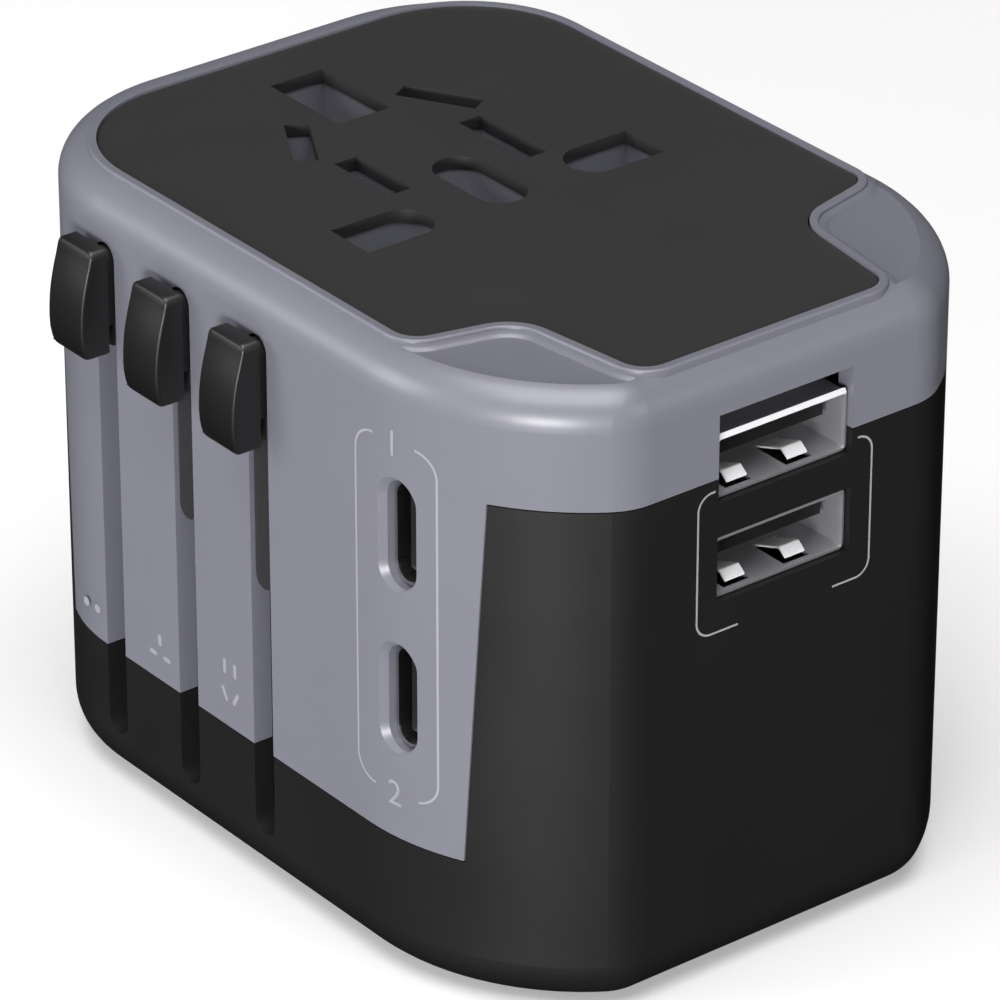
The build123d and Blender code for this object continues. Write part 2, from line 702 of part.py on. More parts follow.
def make_contact_carrier():
    """Moulded block with a well for each contact, slits for their tails and the shutter's stop."""
    low_z, high_z = CARRIER_Z
    low_x, high_x = CARRIER_X
    floor_z = low_z + CARRIER_FLOOR
    carrier = block(CARRIER_X, CARRIER_Y, CARRIER_Z)
    carrier += block((low_x, low_x + CARRIER_END), CARRIER_Y, (low_z, GUIDE_LOW_Z))
    carrier += block((SHUTTER_STOP_X, high_x), CARRIER_Y, (low_z, DECK_Z))
    carrier &= prism(case_plan(WALL + SEAM), (0, FAR))
    for side in (-1, 1):
        carrier -= prism(line_well(side, WELL_GROW), (floor_z, high_z + SEAM))
        carrier -= prism(slant_plan(side, SEAM), (SLANT_LOW_Z, high_z + SEAM))
        tail_x = (TAIL_X - FIT, TAIL_X + CONTACT_T + FIT)
        carrier -= block(tail_x, around(flat_y(side), TAIL_W / 2 + FIT), (0, high_z))
    carrier -= prism(earth_plan(WELL_GROW), (floor_z, high_z + SEAM))
    carrier -= prism(round_plan(SEAM), (SLANT_LOW_Z, high_z + SEAM))
    tab_x = (EARTH_TAB_X[0] - FIT, EARTH_TAB_X[1] + FIT)
    tab_y = (SOCKET_Y, EARTH_TAIL_Y + CONTACT_T + FIT)
    carrier -= block(tab_x, tab_y, (floor_z, floor_z + 2 * CONTACT_T))
    carrier -= block(tab_x, (EARTH_TAIL_Y - FIT, tab_y[1]), (0, floor_z + CONTACT_T))
    return carrier


def make_line_contact(side):
    """Sheet contact: a base, two leaves for the pin, two for the blade and a tail for the sliders."""
    base_z = CARRIER_Z[0] + CARRIER_FLOOR
    contact = prism(line_well(side, WELL_GROW - CONTACT_GAP), (base_z, base_z + CONTACT_T))
    rise = (base_z, CONTACT_TOP_Z)
    pin_gap = MAIN_W / 2 + CONTACT_GAP
    blade_gap = US_SLOT_W / 2 + CONTACT_GAP
    for way in (-1, 1):
        leaf_x = around(MAIN_X + way * (pin_gap + CONTACT_T / 2), CONTACT_T / 2)
        contact += block(leaf_x, around(main_y(side) + side * CONTACT_T, LEAF_HALF), rise)
        leaf_y = around(flat_y(side) + way * (blade_gap + CONTACT_T / 2), CONTACT_T / 2)
        contact += block(around((US_LOW_X + US_SHORT_X) / 2, LEAF_HALF), leaf_y, rise)
    tail_x = (TAIL_X, TAIL_X + CONTACT_T)
    contact += block(tail_x, around(flat_y(side), TAIL_W / 2), (TAIL_LOW_Z, base_z + CONTACT_T))
    return contact


def make_earth_contact():
    """Sheet contact for the earth pin, with a tab out to its tail."""
    base_z = CARRIER_Z[0] + CARRIER_FLOOR
    contact = prism(earth_plan(WELL_GROW - CONTACT_GAP), (base_z, base_z + CONTACT_T))
    gap = EARTH_W / 2 + CONTACT_GAP
    for way in (-1, 1):
        leaf_y = around(SOCKET_Y + way * (gap + CONTACT_T / 2), CONTACT_T / 2)
        contact += block(around(EARTH_X, LEAF_HALF), leaf_y, (base_z, CONTACT_TOP_Z))
    tail_y = (EARTH_TAIL_Y, EARTH_TAIL_Y + CONTACT_T)
    contact += block(EARTH_TAB_X, (SOCKET_Y, tail_y[1]), (base_z, base_z + CONTACT_T))
    contact += block(EARTH_TAB_X, tail_y, (TAIL_LOW_Z, base_z + CONTACT_T))
    return contact


def make_shutter():
    """Two pads that cover the line holes, joined by a bar with pockets for the return springs."""
    bar_y = (main_y(-1) - MAIN_LEN / 2 - SHUTTER_MARGIN, main_y(1) + MAIN_LEN / 2 + SHUTTER_MARGIN)
    shutter = block(SHUTTER_BAR_X, bar_y, (SHUTTER_TOP_Z - SHUTTER_BAR_T, SHUTTER_TOP_Z))
    for side in (-1, 1):
        pad_y = around(main_y(side), MAIN_LEN / 2 + SHUTTER_MARGIN)
        pad = block(SHUTTER_PAD_X, pad_y, (SHUTTER_TOP_Z - SHUTTER_T, SHUTTER_TOP_Z))
        ramp_edge = pad.edges().filter_by(Axis.Y).group_by(Axis.Z)[-1].sort_by(Axis.X)[0]
        shutter += chamfer(ramp_edge, SHUTTER_BEVEL)
        shutter -= spring_seat(side) * Cylinder(SHUTTER_SPRING_R + 2 * WIRE_R, 2 * SHUTTER_POCKET)
    return shutter


def spring_seat(side):
    """Place on the shutter bar's port-side face, facing +X, where a return spring goes in."""
    seat = Vector(SHUTTER_BAR_X[1], side * SHUTTER_SPRING_Y, SHUTTER_TOP_Z - SHUTTER_BAR_T / 2)
    return Plane(origin=seat, z_dir=(1, 0, 0))


def make_shutter_spring(side):
    """Return spring from the pocket's floor to the stop."""
    length = SHUTTER_STOP_X - SHUTTER_BAR_X[1] + SHUTTER_POCKET
    return spring_seat(side) * Pos(0, 0, -SHUTTER_POCKET) * coil(SHUTTER_SPRING_R, length, SHUTTER_SPRING_TURNS)


# ---- sliders ------------------------------------------------------------------------------
def make_slider(slot_x, bar_z, tongue_z, arms):
    """Slider body: a spine behind its slot, a tongue in the slot, a knob pocket and its arms."""
    top_z = SLOT_HIGH_Z - STEM_TOP_GAP
    body = block(around(slot_x, SPINE_W / 2), SPINE_Y, (bar_z, top_z))
    tongue = upright_slot(slot_x, (tongue_z, top_z), SLOT_W - 2 * TONGUE_SIDE_GAP)
    body += front_prism(tongue, (TONGUE_Y, SPINE_Y[1]))
    for start, end in arms:
        body += arm(start, end, (bar_z, bar_z + BAR_T))
    pocket = STEM_HALF + STEM_SIDE_GAP
    body -= block(around(slot_x, pocket), (-WIDTH, KNOB_POCKET_Y), (STEM_LOW_Z - STEM_SIDE_GAP, FAR))
    return body


def spine_foot(slot_x):
    """Plan point where a slider's first arm leaves its spine."""
    return (slot_x, SPINE_FRONT + ARM_W / 2)


def make_eu_carriage():
    """Slider for the two round pins; its arm follows the rounded corner of the case."""
    near = (EU_PIN_X, -EU_HALF_PITCH)
    far = (EU_PIN_X, EU_HALF_PITCH)
    arms = ((spine_foot(EU_SLOT_X), EU_BEND), (EU_BEND, near), (near, far))
    carriage = make_slider(EU_SLOT_X, EU_BAR_Z, KNOB_LOW_Z, arms)
    for side in (-1, 1):
        y = side * EU_HALF_PITCH
        carriage += rod(EU_PIN_R + BOSS_MARGIN, EU_PIN_X, y, (EU_BAR_Z, EU_BAR_Z + BAR_T))
        carriage -= rod(EU_CORE_R, EU_PIN_X, y, (0, FAR))
        carriage -= rod(EU_PIN_R, EU_PIN_X, y, (0, EU_BAR_Z + BOSS_MARGIN))
    return carriage


def make_eu_pin(side):
    """Round pin: full size at the tip, thinner under the sleeve and through the slider."""
    y = side * EU_HALF_PITCH
    tip_z = EU_TRAVEL - EU_PIN_OUT
    tip = rod(EU_PIN_R, EU_PIN_X, y, (tip_z, tip_z + EU_BARE))
    tip = fillet(tip.edges().group_by(Axis.Z)[0], EU_TIP_R)
    return tip + rod(EU_CORE_R, EU_PIN_X, y, (tip_z + EU_BARE, EU_BAR_Z + BAR_T + PIN_HEAD))


def make_eu_sleeve(side):
    """Insulating sleeve flush with the pin."""
    y = side * EU_HALF_PITCH
    span = (EU_TRAVEL - EU_PIN_OUT + EU_BARE, EU_BAR_Z + BOSS_MARGIN)
    return rod(EU_PIN_R, EU_PIN_X, y, span) - rod(EU_CORE_R, EU_PIN_X, y, span)


def make_uk_carriage():
    """Slider for the three rectangular pins; a T in plan, its leg running back from the slot."""
    foot = spine_foot(UK_SLOT_X)
    near = (UK_MAIN_X, -UK_HALF_PITCH)
    far = (UK_MAIN_X, UK_HALF_PITCH)
    arms = ((foot, (UK_SLOT_X, 0)), ((UK_EARTH_X, 0), (UK_MAIN_X, 0)), (near, far))
    tongue_z = SLOT_LOW_Z + UK_TRAVEL + TONGUE_END_GAP
    carriage = make_slider(UK_SLOT_X, UK_BAR_Z, tongue_z, arms)
    span = (UK_BAR_Z, UK_BAR_Z + BAR_T)
    carriage += prism(uk_earth_plan(BOSS_MARGIN), span)
    for side in (-1, 1):
        carriage += prism(uk_line_plan(side, BOSS_MARGIN), span)
        carriage -= prism(uk_line_plan(side, -SLEEVE_T), (0, FAR))
        carriage -= prism(uk_line_plan(side), (0, UK_BAR_Z + BOSS_MARGIN))
    return carriage - prism(uk_earth_plan(), (0, FAR))


def uk_earth_plan(grow=0.0):
    """Section of the rectangular earth pin."""
    return Pos(UK_EARTH_X, 0) * Rectangle(UK_EARTH_L + 2 * grow, UK_PIN_T + 2 * grow)


def uk_line_plan(side, grow=0.0):
    """Section of a rectangular line pin."""
    pin = Rectangle(UK_PIN_T + 2 * grow, UK_PIN_W + 2 * grow)
    return Pos(UK_MAIN_X, side * UK_HALF_PITCH) * pin


def make_uk_earth_pin():
    """Long rectangular pin with a bevelled tip."""
    tip_z = UK_TRAVEL - UK_EARTH_OUT
    pin = prism(uk_earth_plan(), (tip_z, UK_BAR_Z + BAR_T + PIN_HEAD))
    return chamfer(pin.edges().group_by(Axis.Z)[0], UK_TIP)


def make_uk_line_pin(side):
    """Rectangular pin: full size at the tip, thinner under the sleeve and through the slider."""
    tip_z = UK_TRAVEL - UK_PIN_OUT
    tip = prism(uk_line_plan(side), (tip_z, tip_z + UK_BARE))
    tip = chamfer(tip.edges().group_by(Axis.Z)[0], UK_TIP)
    return tip + prism(uk_line_plan(side, -SLEEVE_T), (tip_z + UK_BARE, UK_BAR_Z + BAR_T + PIN_HEAD))


def make_uk_sleeve(side):
    """Insulating sleeve flush with the rectangular pin."""
    span = (UK_TRAVEL - UK_PIN_OUT + UK_BARE, UK_BAR_Z + BOSS_MARGIN)
    return prism(uk_line_plan(side), span) - prism(uk_line_plan(side, -SLEEVE_T), span)


def make_us_carriage():
    """Slider for the two turning blades; an L in plan that passes outside the rectangular pins."""
    foot = spine_foot(US_SLOT_X)
    corner = (US_BLADE_X, foot[1])
    far = (US_BLADE_X, US_HALF_PITCH)
    tongue_z = SLOT_LOW_Z + US_TRAVEL + TONGUE_END_GAP
    carriage = make_slider(US_SLOT_X, US_BAR_Z, tongue_z, ((foot, corner), (corner, far)))
    for side in (-1, 1):
        y = side * US_HALF_PITCH
        carriage += rod(STUD_HEAD_R + BOSS_MARGIN / 2, US_BLADE_X, y, (US_BAR_Z, US_BAR_Z + BAR_T))
        carriage -= rod(STUD_R + STUD_FIT, US_BLADE_X, y, (0, FAR))
    return carriage


def make_us_blade(side):
    """Flat blade on a round stud that turns in the slider, with a head to hold it."""
    y = side * US_HALF_PITCH
    tip_z = US_TRAVEL - US_BLADE_OUT
    top_z = US_BAR_Z - BLADE_BAR_GAP
    head_z = US_BAR_Z + BAR_T + BLADE_BAR_GAP / 2
    blade = block(around(US_BLADE_X, US_BLADE_W / 2), around(y, US_BLADE_T / 2), (tip_z, top_z))
    blade = chamfer(blade.edges().group_by(Axis.Z)[0], US_BLADE_TIP)
    hole_z = tip_z + US_BLADE_HOLE_UP
    blade -= Pos(US_BLADE_X, y, hole_z) * Rot(90, 0, 0) * Cylinder(US_BLADE_HOLE_R, 2 * US_BLADE_T)
    blade += rod(STUD_R, US_BLADE_X, y, (top_z, head_z))
    blade += rod(STUD_HEAD_R, US_BLADE_X, y, (head_z, head_z + STUD_HEAD_T))
    return blade


# ---- knobs --------------------------------------------------------------------------------
def make_knob(slot_x):
    """Thumb cap that swells towards its foot, on a stem that reaches into the slider."""
    face = -HALF_W
    back = face - KNOB_BACK
    belly = face - KNOB_BOTTOM_OUT
    brow_z = (KNOB_BELLY_Z + KNOB_HIGH_Z) / 2 + KNOB_EDGE_R
    brow = face - (KNOB_TOP_OUT + KNOB_BOTTOM_OUT) / 2 + KNOB_EDGE_R
    side = Polyline(
        (face - KNOB_TOP_OUT, KNOB_HIGH_Z),
        (back, KNOB_HIGH_Z),
        (back, KNOB_LOW_Z),
        (belly, KNOB_LOW_Z),
        (belly, KNOB_BELLY_Z),
    ) + Spline(
        (belly, KNOB_BELLY_Z),
        (brow, brow_z),
        (face - KNOB_TOP_OUT, KNOB_HIGH_Z),
        tangents=((0, 1), (KNOB_EDGE_R, 1)),
    )
    right = slot_x + KNOB_RIGHT
    cap = extrude(Plane.YZ.offset(right - KNOB_W) * make_face(side), KNOB_W)
    front = [e for e in cap.edges() if e.center().Y < back - SEAM]
    cap = fillet(front, KNOB_EDGE_R)
    stem_z = (STEM_LOW_Z, SLOT_HIGH_Z - 2 * STEM_TOP_GAP)
    return cap + block(around(slot_x, STEM_HALF), (back - KNOB_EDGE_R, STEM_END_Y), stem_z)


def make_knob_spring(slot_x):
    """Short spring behind the stem that pushes the knob out."""
    z = (STEM_LOW_Z + SLOT_HIGH_Z - STEM_TOP_GAP) / 2
    seat = Plane(origin=(slot_x, STEM_END_Y, z), z_dir=(0, 1, 0))
    return seat * coil(KNOB_SPRING_R, KNOB_POCKET_Y - STEM_END_Y, KNOB_SPRING_TURNS)


# ---- charger ------------------------------------------------------------------------------
def make_charger_board():
    """Upright circuit board that carries the four ports."""
    return block(BOARD_X, BOARD_Y, BOARD_Z)


def usb_a_z(low):
    """Height span of a USB-A receptacle in its opening."""
    return (low + USB_A_GAP, low + USB_A_H - USB_A_GAP)


def make_usb_a_shell(low):
    """Folded steel receptacle, open at the mouth, with two leaf windows in its floor."""
    half = USB_A_W / 2 - USB_A_GAP
    low_z, high_z = usb_a_z(low)
    back_x = BOARD_X[1]
    shell = block((back_x, USB_A_FACE_X), around(USB_A_Y, half), (low_z, high_z))
    shell -= block(
        (back_x + SHEET_T, LENGTH),
        around(USB_A_Y, half - SHEET_T),
        (low_z + SHEET_T, high_z - SHEET_T),
    )
    window_x = (USB_A_FACE_X - LEAF_A_BACK - LEAF_A_LEN, USB_A_FACE_X - LEAF_A_BACK)
    for way in (-1, 1):
        window_y = around(USB_A_Y + way * LEAF_A_Y, LEAF_A_W / 2 + SHEET_T)
        shell -= block(window_x, window_y, (low_z - SEAM, low_z + SHEET_T + SEAM))
        leaf_y = around(USB_A_Y + way * LEAF_A_Y, LEAF_A_W / 2)
        shell += block((window_x[0] - SEAM, window_x[1] - LEAF_A_BACK), leaf_y, (low_z, low_z + SHEET_T))
    return shell


def make_usb_a_tongue(low):
    """Plastic tongue in the upper half of the receptacle."""
    low_z, high_z = usb_a_z(low)
    half = USB_A_W / 2 - USB_A_GAP - SHEET_T - TONGUE_A_SIDE
    middle = (low_z + high_z) / 2
    back_x = BOARD_X[1] + SHEET_T
    return block((back_x, USB_A_FACE_X - TONGUE_A_SHORT), around(USB_A_Y, half), (middle, middle + TONGUE_A_T))


def make_usb_c_shell(z):
    """Oval steel receptacle, open at the mouth and closed behind."""
    shell = front_prism(usb_c_plan(z), (USB_C_FACE_Y, USB_C_TAIL_Y))
    return shell - front_prism(usb_c_plan(z, -SHEET_T), (-WIDTH, USB_C_TAIL_Y - SHEET_T))


def make_usb_c_tongue(z):
    """Thin plastic tongue in the middle of the receptacle."""
    y = (USB_C_FACE_Y + 2 * SHEET_T, USB_C_TAIL_Y - SHEET_T)
    return block(around(USB_C_X, USB_C_TONGUE_T / 2), y, around(z, USB_C_TONGUE_H / 2))


def make_transformer():
    """Ferrite core round a taped winding."""
    low_x, high_x = CORE_X
    core = block(CORE_X, CORE_Y, CORE_Z)
    inner_y = (CORE_Y[0] - COIL_GROW, CORE_Y[1] + COIL_GROW)
    inner_z = around(sum(CORE_Z) / 2, (CORE_Z[1] - CORE_Z[0]) / 4)
    return core + block((low_x + COIL_GROW, high_x - COIL_GROW), inner_y, inner_z)


def make_capacitor():
    """Upright can capacitor with rounded ends."""
    can = rod(CAPACITOR_R, BOARD_X[1] + CAPACITOR_R, CAPACITOR_Y, CAPACITOR_Z)
    return fillet(can.edges().filter_by(GeomType.CIRCLE), CAPACITOR_EDGE)


# ---- fuse and screws ----------------------------------------------------------------------
def make_fuse():
    """Ceramic body of the cartridge fuse."""
    low, high = FUSE_Z
    return rod(FUSE_TUBE_R, FUSE_X, FUSE_Y, (low + SHEET_T, high - SHEET_T))


def make_fuse_cap(end_z, way):
    """Metal end cap that closes one end of the fuse."""
    mouth = end_z + way * FUSE_CAP_LEN
    span = (min(end_z, mouth), max(end_z, mouth))
    hollow = (min(end_z + way * SHEET_T, mouth), max(end_z + way * SHEET_T, mouth))
    return rod(FUSE_R, FUSE_X, FUSE_Y, span) - rod(FUSE_TUBE_R, FUSE_X, FUSE_Y, hollow)


def make_fuse_spring():
    """Spring that presses the fuse down from the underside of the contact carrier."""
    length = CARRIER_Z[0] - FUSE_Z[1]
    return Pos(FUSE_X, FUSE_Y, FUSE_Z[1]) * coil(FUSE_SPRING_R, length, FUSE_SPRING_TURNS)


def make_fuse_lid():
    """Quarter-turn lid in the floor: coin slot below, hub for the fuse and two lugs above."""
    lid = rod(LID_R, FUSE_X, FUSE_Y, (FIT, LID_T - SEAM))
    lug_low = FUSE_RIM_H + SEAM
    hub_z = (FIT, lug_low + LUG_T)
    lid += rod(HUB_R, FUSE_X, FUSE_Y, hub_z)
    lid += block(around(FUSE_X, LUG_REACH), around(FUSE_Y, LUG_W / 2), (lug_low, lug_low + LUG_T))
    lid -= rod(HUB_BORE_R, FUSE_X, FUSE_Y, (FUSE_Z[0], FAR))
    coin = block(around(FUSE_X, COIN_LEN / 2), around(FUSE_Y, COIN_W / 2), (0, FIT + COIN_DEPTH))
    return lid - coin


def make_screw(x, y):
    """Case screw, head down in its pillar, threaded into the upper shell's boss."""
    head_z = PILLAR_TOP_Z - PILLAR_SHELF
    screw = rod(SCREW_R, x, y, (head_z, head_z + SCREW_LEN))
    screw += rod(SCREW_HEAD_R, x, y, (head_z - SCREW_HEAD_T, head_z))
    recess = SCREW_HEAD_R
    for angle in (0, 90):
        slot = Pos(x, y, head_z - SCREW_HEAD_T) * Rot(0, 0, angle) * Box(recess, recess / 4, SCREW_HEAD_T)
        screw -= slot
    return screw


def all_parts():
    """Every node by name."""
    parts = {
        "upper_shell": make_upper_shell(),
        "lower_shell": make_lower_shell(),
        "top_plate": make_top_plate(),
        "socket_guide": make_socket_guide(),
        "contact_carrier": make_contact_carrier(),
        "contact_earth": make_earth_contact(),
        "shutter": make_shutter(),
        "eu_carriage": make_eu_carriage(),
        "uk_carriage": make_uk_carriage(),
        "us_carriage": make_us_carriage(),
        "uk_pin_earth": make_uk_earth_pin(),
        "charger_board": make_charger_board(),
        "transformer": make_transformer(),
        "capacitor": make_capacitor(),
        "fuse": make_fuse(),
        "fuse_cap_low": make_fuse_cap(FUSE_Z[0], 1),
        "fuse_cap_high": make_fuse_cap(FUSE_Z[1], -1),
        "fuse_spring": make_fuse_spring(),
        "fuse_lid": make_fuse_lid(),
    }
    for name, side in (("left", -1), ("right", 1)):
        parts[f"contact_{name}"] = make_line_contact(side)
        parts[f"shutter_spring_{name}"] = make_shutter_spring(side)
        parts[f"eu_pin_{name}"] = make_eu_pin(side)
        parts[f"eu_sleeve_{name}"] = make_eu_sleeve(side)
        parts[f"uk_pin_{name}"] = make_uk_line_pin(side)
        parts[f"uk_sleeve_{name}"] = make_uk_sleeve(side)
        parts[f"us_blade_{name}"] = make_us_blade(side)
    for name, slot_x in (("eu", EU_SLOT_X), ("uk", UK_SLOT_X), ("us", US_SLOT_X)):
        parts[f"{name}_knob"] = make_knob(slot_x)
        parts[f"{name}_knob_spring"] = make_knob_spring(slot_x)
    for index, name in enumerate(("lower", "upper")):
        parts[f"usb_a_shell_{name}"] = make_usb_a_shell(USB_A_LOW_Z[index])
        parts[f"usb_a_tongue_{name}"] = make_usb_a_tongue(USB_A_LOW_Z[index])
        parts[f"usb_c_shell_{name}"] = make_usb_c_shell(USB_C_Z[index])
        parts[f"usb_c_tongue_{name}"] = make_usb_c_tongue(USB_C_Z[index])
    for number, (x, y) in enumerate(SCREWS, start=1):
        parts[f"case_screw_{number}"] = make_screw(x, y)
    return parts


os.makedirs("parts", exist_ok=True)
for node, shape in all_parts().items():
    export_step(shape, f"parts/{node}.step")
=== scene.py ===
import json
from math import pi, radians

import bmesh
import bpy
from mathutils import Matrix, Vector

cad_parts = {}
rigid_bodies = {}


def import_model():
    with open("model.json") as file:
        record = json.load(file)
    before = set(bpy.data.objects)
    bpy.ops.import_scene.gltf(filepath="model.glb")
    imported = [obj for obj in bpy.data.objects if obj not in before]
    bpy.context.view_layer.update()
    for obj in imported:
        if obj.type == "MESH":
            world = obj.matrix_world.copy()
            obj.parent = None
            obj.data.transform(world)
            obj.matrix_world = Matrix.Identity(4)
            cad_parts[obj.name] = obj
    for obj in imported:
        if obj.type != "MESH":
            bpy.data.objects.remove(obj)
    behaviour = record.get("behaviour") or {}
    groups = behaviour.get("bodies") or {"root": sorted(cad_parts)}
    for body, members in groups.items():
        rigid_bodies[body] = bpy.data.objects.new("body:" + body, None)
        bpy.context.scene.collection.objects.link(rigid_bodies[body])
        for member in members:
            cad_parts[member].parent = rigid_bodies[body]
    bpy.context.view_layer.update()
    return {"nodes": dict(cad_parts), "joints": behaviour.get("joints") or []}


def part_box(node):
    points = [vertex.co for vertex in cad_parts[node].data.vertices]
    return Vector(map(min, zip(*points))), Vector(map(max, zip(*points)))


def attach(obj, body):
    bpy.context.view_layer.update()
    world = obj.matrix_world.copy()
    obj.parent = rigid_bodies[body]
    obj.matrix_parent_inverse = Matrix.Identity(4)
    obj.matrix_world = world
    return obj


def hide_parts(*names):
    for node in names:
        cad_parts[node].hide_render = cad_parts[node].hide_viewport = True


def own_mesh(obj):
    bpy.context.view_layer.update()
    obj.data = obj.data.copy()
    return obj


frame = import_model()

bpy.context.scene.view_settings.view_transform = "Standard"

# ---- Camera, floor and lights --------------------------------------------------------------
# A long lens stands off the corner between the knob face and the USB-A face and looks down on it.
# The floor is one pale sheet, and large soft lamps give the broad highlights of moulded plastic.
CAMERA_AT = (0.37524, -0.29424, 0.28343)
CAMERA_AZIMUTH = 51.903
CAMERA_ELEVATION = 28.389
CAMERA_ROLL = 0.028
SENSOR_MM = 36.0
LENS_MM = 237.42

camera = bpy.data.objects.new("studio_camera", bpy.data.cameras.new("studio_camera"))
bpy.context.collection.objects.link(camera)
camera.data.sensor_width = SENSOR_MM
camera.data.lens = LENS_MM
camera.data.clip_start = 0.01
camera.data.clip_end = 20.0
camera.rotation_euler = (
    Matrix.Rotation(radians(CAMERA_AZIMUTH), 4, "Z")
    @ Matrix.Rotation(radians(90 - CAMERA_ELEVATION), 4, "X")
    @ Matrix.Rotation(radians(CAMERA_ROLL), 4, "Z")
).to_euler()
camera.location = CAMERA_AT
bpy.context.scene.camera = camera


def rgb(code):
    """Linear colour, with alpha, of an sRGB hex code."""
    parts = [int(code[i:i + 2], 16) / 255 for i in (0, 2, 4)]
    lit = [c / 12.92 if c <= 0.04045 else ((c + 0.055) / 1.055) ** 2.4 for c in parts]
    return (*lit, 1.0)


def add_node(tree, kind, settings=None, links=None):
    """Adds a node, sets its properties or input values, and links its inputs."""
    node = tree.nodes.new(kind)
    for name, value in (settings or {}).items():
        if isinstance(name, int) or name in node.inputs:
            node.inputs[name].default_value = value
        else:
            setattr(node, name, value)
    for name, socket in (links or {}).items():
        tree.links.new(socket, node.inputs[name])
    return node


def new_material(name):
    """An empty node material and its tree, with the surface output in place."""
    material = bpy.data.materials.new(name)
    material.use_nodes = True
    tree = material.node_tree
    tree.nodes.clear()
    return material, tree, add_node(tree, "ShaderNodeOutputMaterial")


def place_copy(name, mesh):
    """Object at the origin for a finished mesh, linked into the scene."""
    piece = bpy.data.objects.new(name, mesh)
    bpy.context.collection.objects.link(piece)
    return piece


for thing in bpy.context.selected_objects:
    thing.select_set(False)

# Floor: a seamless pale paper sweep, matt. It is clear from below, so the underside can be seen.
bpy.ops.mesh.primitive_grid_add(x_subdivisions=8, y_subdivisions=8, size=4.0, location=(0, 0, 0))
floor = bpy.context.object
floor.name = "studio_floor"
material, tree, out = new_material("matt_paper_white")
paper = add_node(tree, "ShaderNodeBsdfPrincipled", {
    "Base Color": rgb("cfcfcf"), "Roughness": 0.9, "Emission Color": rgb("ffffff"),
    "Emission Strength": 0.28})
clear = add_node(tree, "ShaderNodeBsdfTransparent")
below = add_node(tree, "ShaderNodeNewGeometry").outputs["Backfacing"]
both = add_node(tree, "ShaderNodeMixShader", {}, {0: below, 1: paper.outputs["BSDF"], 2: clear.outputs[0]})
tree.links.new(both.outputs[0], out.inputs["Surface"])
floor.data.materials.append(material)
floor.visible_glossy = False

# Room: pale above, where the ceiling is, and dim below the table.
world = bpy.data.worlds.new("studio_air")
world.use_nodes = True
tree = world.node_tree
way = add_node(tree, "ShaderNodeTexCoord").outputs["Generated"]
height = add_node(tree, "ShaderNodeSeparateXYZ", {}, {0: way}).outputs["Z"]
shade = add_node(
    tree, "ShaderNodeMapRange", {"From Min": -0.3, "From Max": 0.6, "To Min": 0.05, "To Max": 0.24},
    {"Value": height})
tree.links.new(shade.outputs[0], tree.nodes["Background"].inputs["Strength"])
bpy.context.scene.world = world

# Each lamp's name, place, aim, width and height in metres, and power in watts.
for name, at, aim, size, power in (
    ("lamp_top", (0.15, -0.15, 0.95), (0, 0, 0.03), (0.8, 0.8), 12.0),
    ("lamp_shoulder", (-0.45, -0.75, 0.30), (0, 0, 0.04), (0.40, 0.40), 3.2),
    ("lamp_corner", (0.60, -0.80, 0.12), (0, 0, 0.03), (0.30, 0.22), 9.6),
    ("lamp_ports", (1.0, 0.35, 0.5), (0, 0, 0.03), (0.5, 0.5), 1.5),
):
    lamp = bpy.data.objects.new(name, bpy.data.lights.new(name, "AREA"))
    bpy.context.collection.objects.link(lamp)
    lamp.data.shape = "RECTANGLE"
    lamp.data.size, lamp.data.size_y = size
    lamp.data.energy = power
    lamp.location = at
    lamp.rotation_euler = (Vector(aim) - Vector(at)).to_track_quat("-Z", "Y").to_euler()


# ---- Lower shell ---------------------------------------------------------------------------
# The tub of the case is polycarbonate, injection moulded in black, with a fine spark-eroded skin
# that gives a soft satin sheen. It is screwed to the upper shell from below.
SKIN_GRAIN_MM = 0.16
GRAIN_HEIGHT_MM = 0.004
RUB_PATCH_MM = 9.0
FRAME_LINE_MM = 0.18


def grain_scale(size_mm):
    """Noise scale, on coordinates in metres, for features of a size in millimetres."""
    return 1000.0 / size_mm


def moulded_plastic(name, colour, shade, roughness, spread):
    """Moulded plastic: two close shades in wide patches, uneven satin and a fine eroded grain."""
    material, tree, out = new_material(name)
    place = add_node(tree, "ShaderNodeTexCoord").outputs["Object"]
    patches = add_node(
        tree, "ShaderNodeTexNoise", {"Scale": grain_scale(RUB_PATCH_MM), "Detail": 3.0}, {"Vector": place})
    tint = add_node(
        tree, "ShaderNodeMix", {"data_type": "RGBA", 6: rgb(colour), 7: rgb(shade)},
        {0: patches.outputs[0]})
    gloss = add_node(
        tree, "ShaderNodeMapRange", {"To Min": roughness - spread, "To Max": roughness + spread},
        {"Value": patches.outputs[0]})
    grain = add_node(
        tree, "ShaderNodeTexNoise", {"Scale": grain_scale(SKIN_GRAIN_MM), "Detail": 2.0}, {"Vector": place})
    bump = add_node(
        tree, "ShaderNodeBump", {"Strength": 0.35, "Distance": GRAIN_HEIGHT_MM / 1000},
        {"Height": grain.outputs[0]})
    skin = add_node(
        tree, "ShaderNodeBsdfPrincipled", {"IOR": 1.55},
        {"Base Color": tint.outputs[2], "Roughness": gloss.outputs[0], "Normal": bump.outputs[0]})
    tree.links.new(skin.outputs["BSDF"], out.inputs["Surface"])
    return material


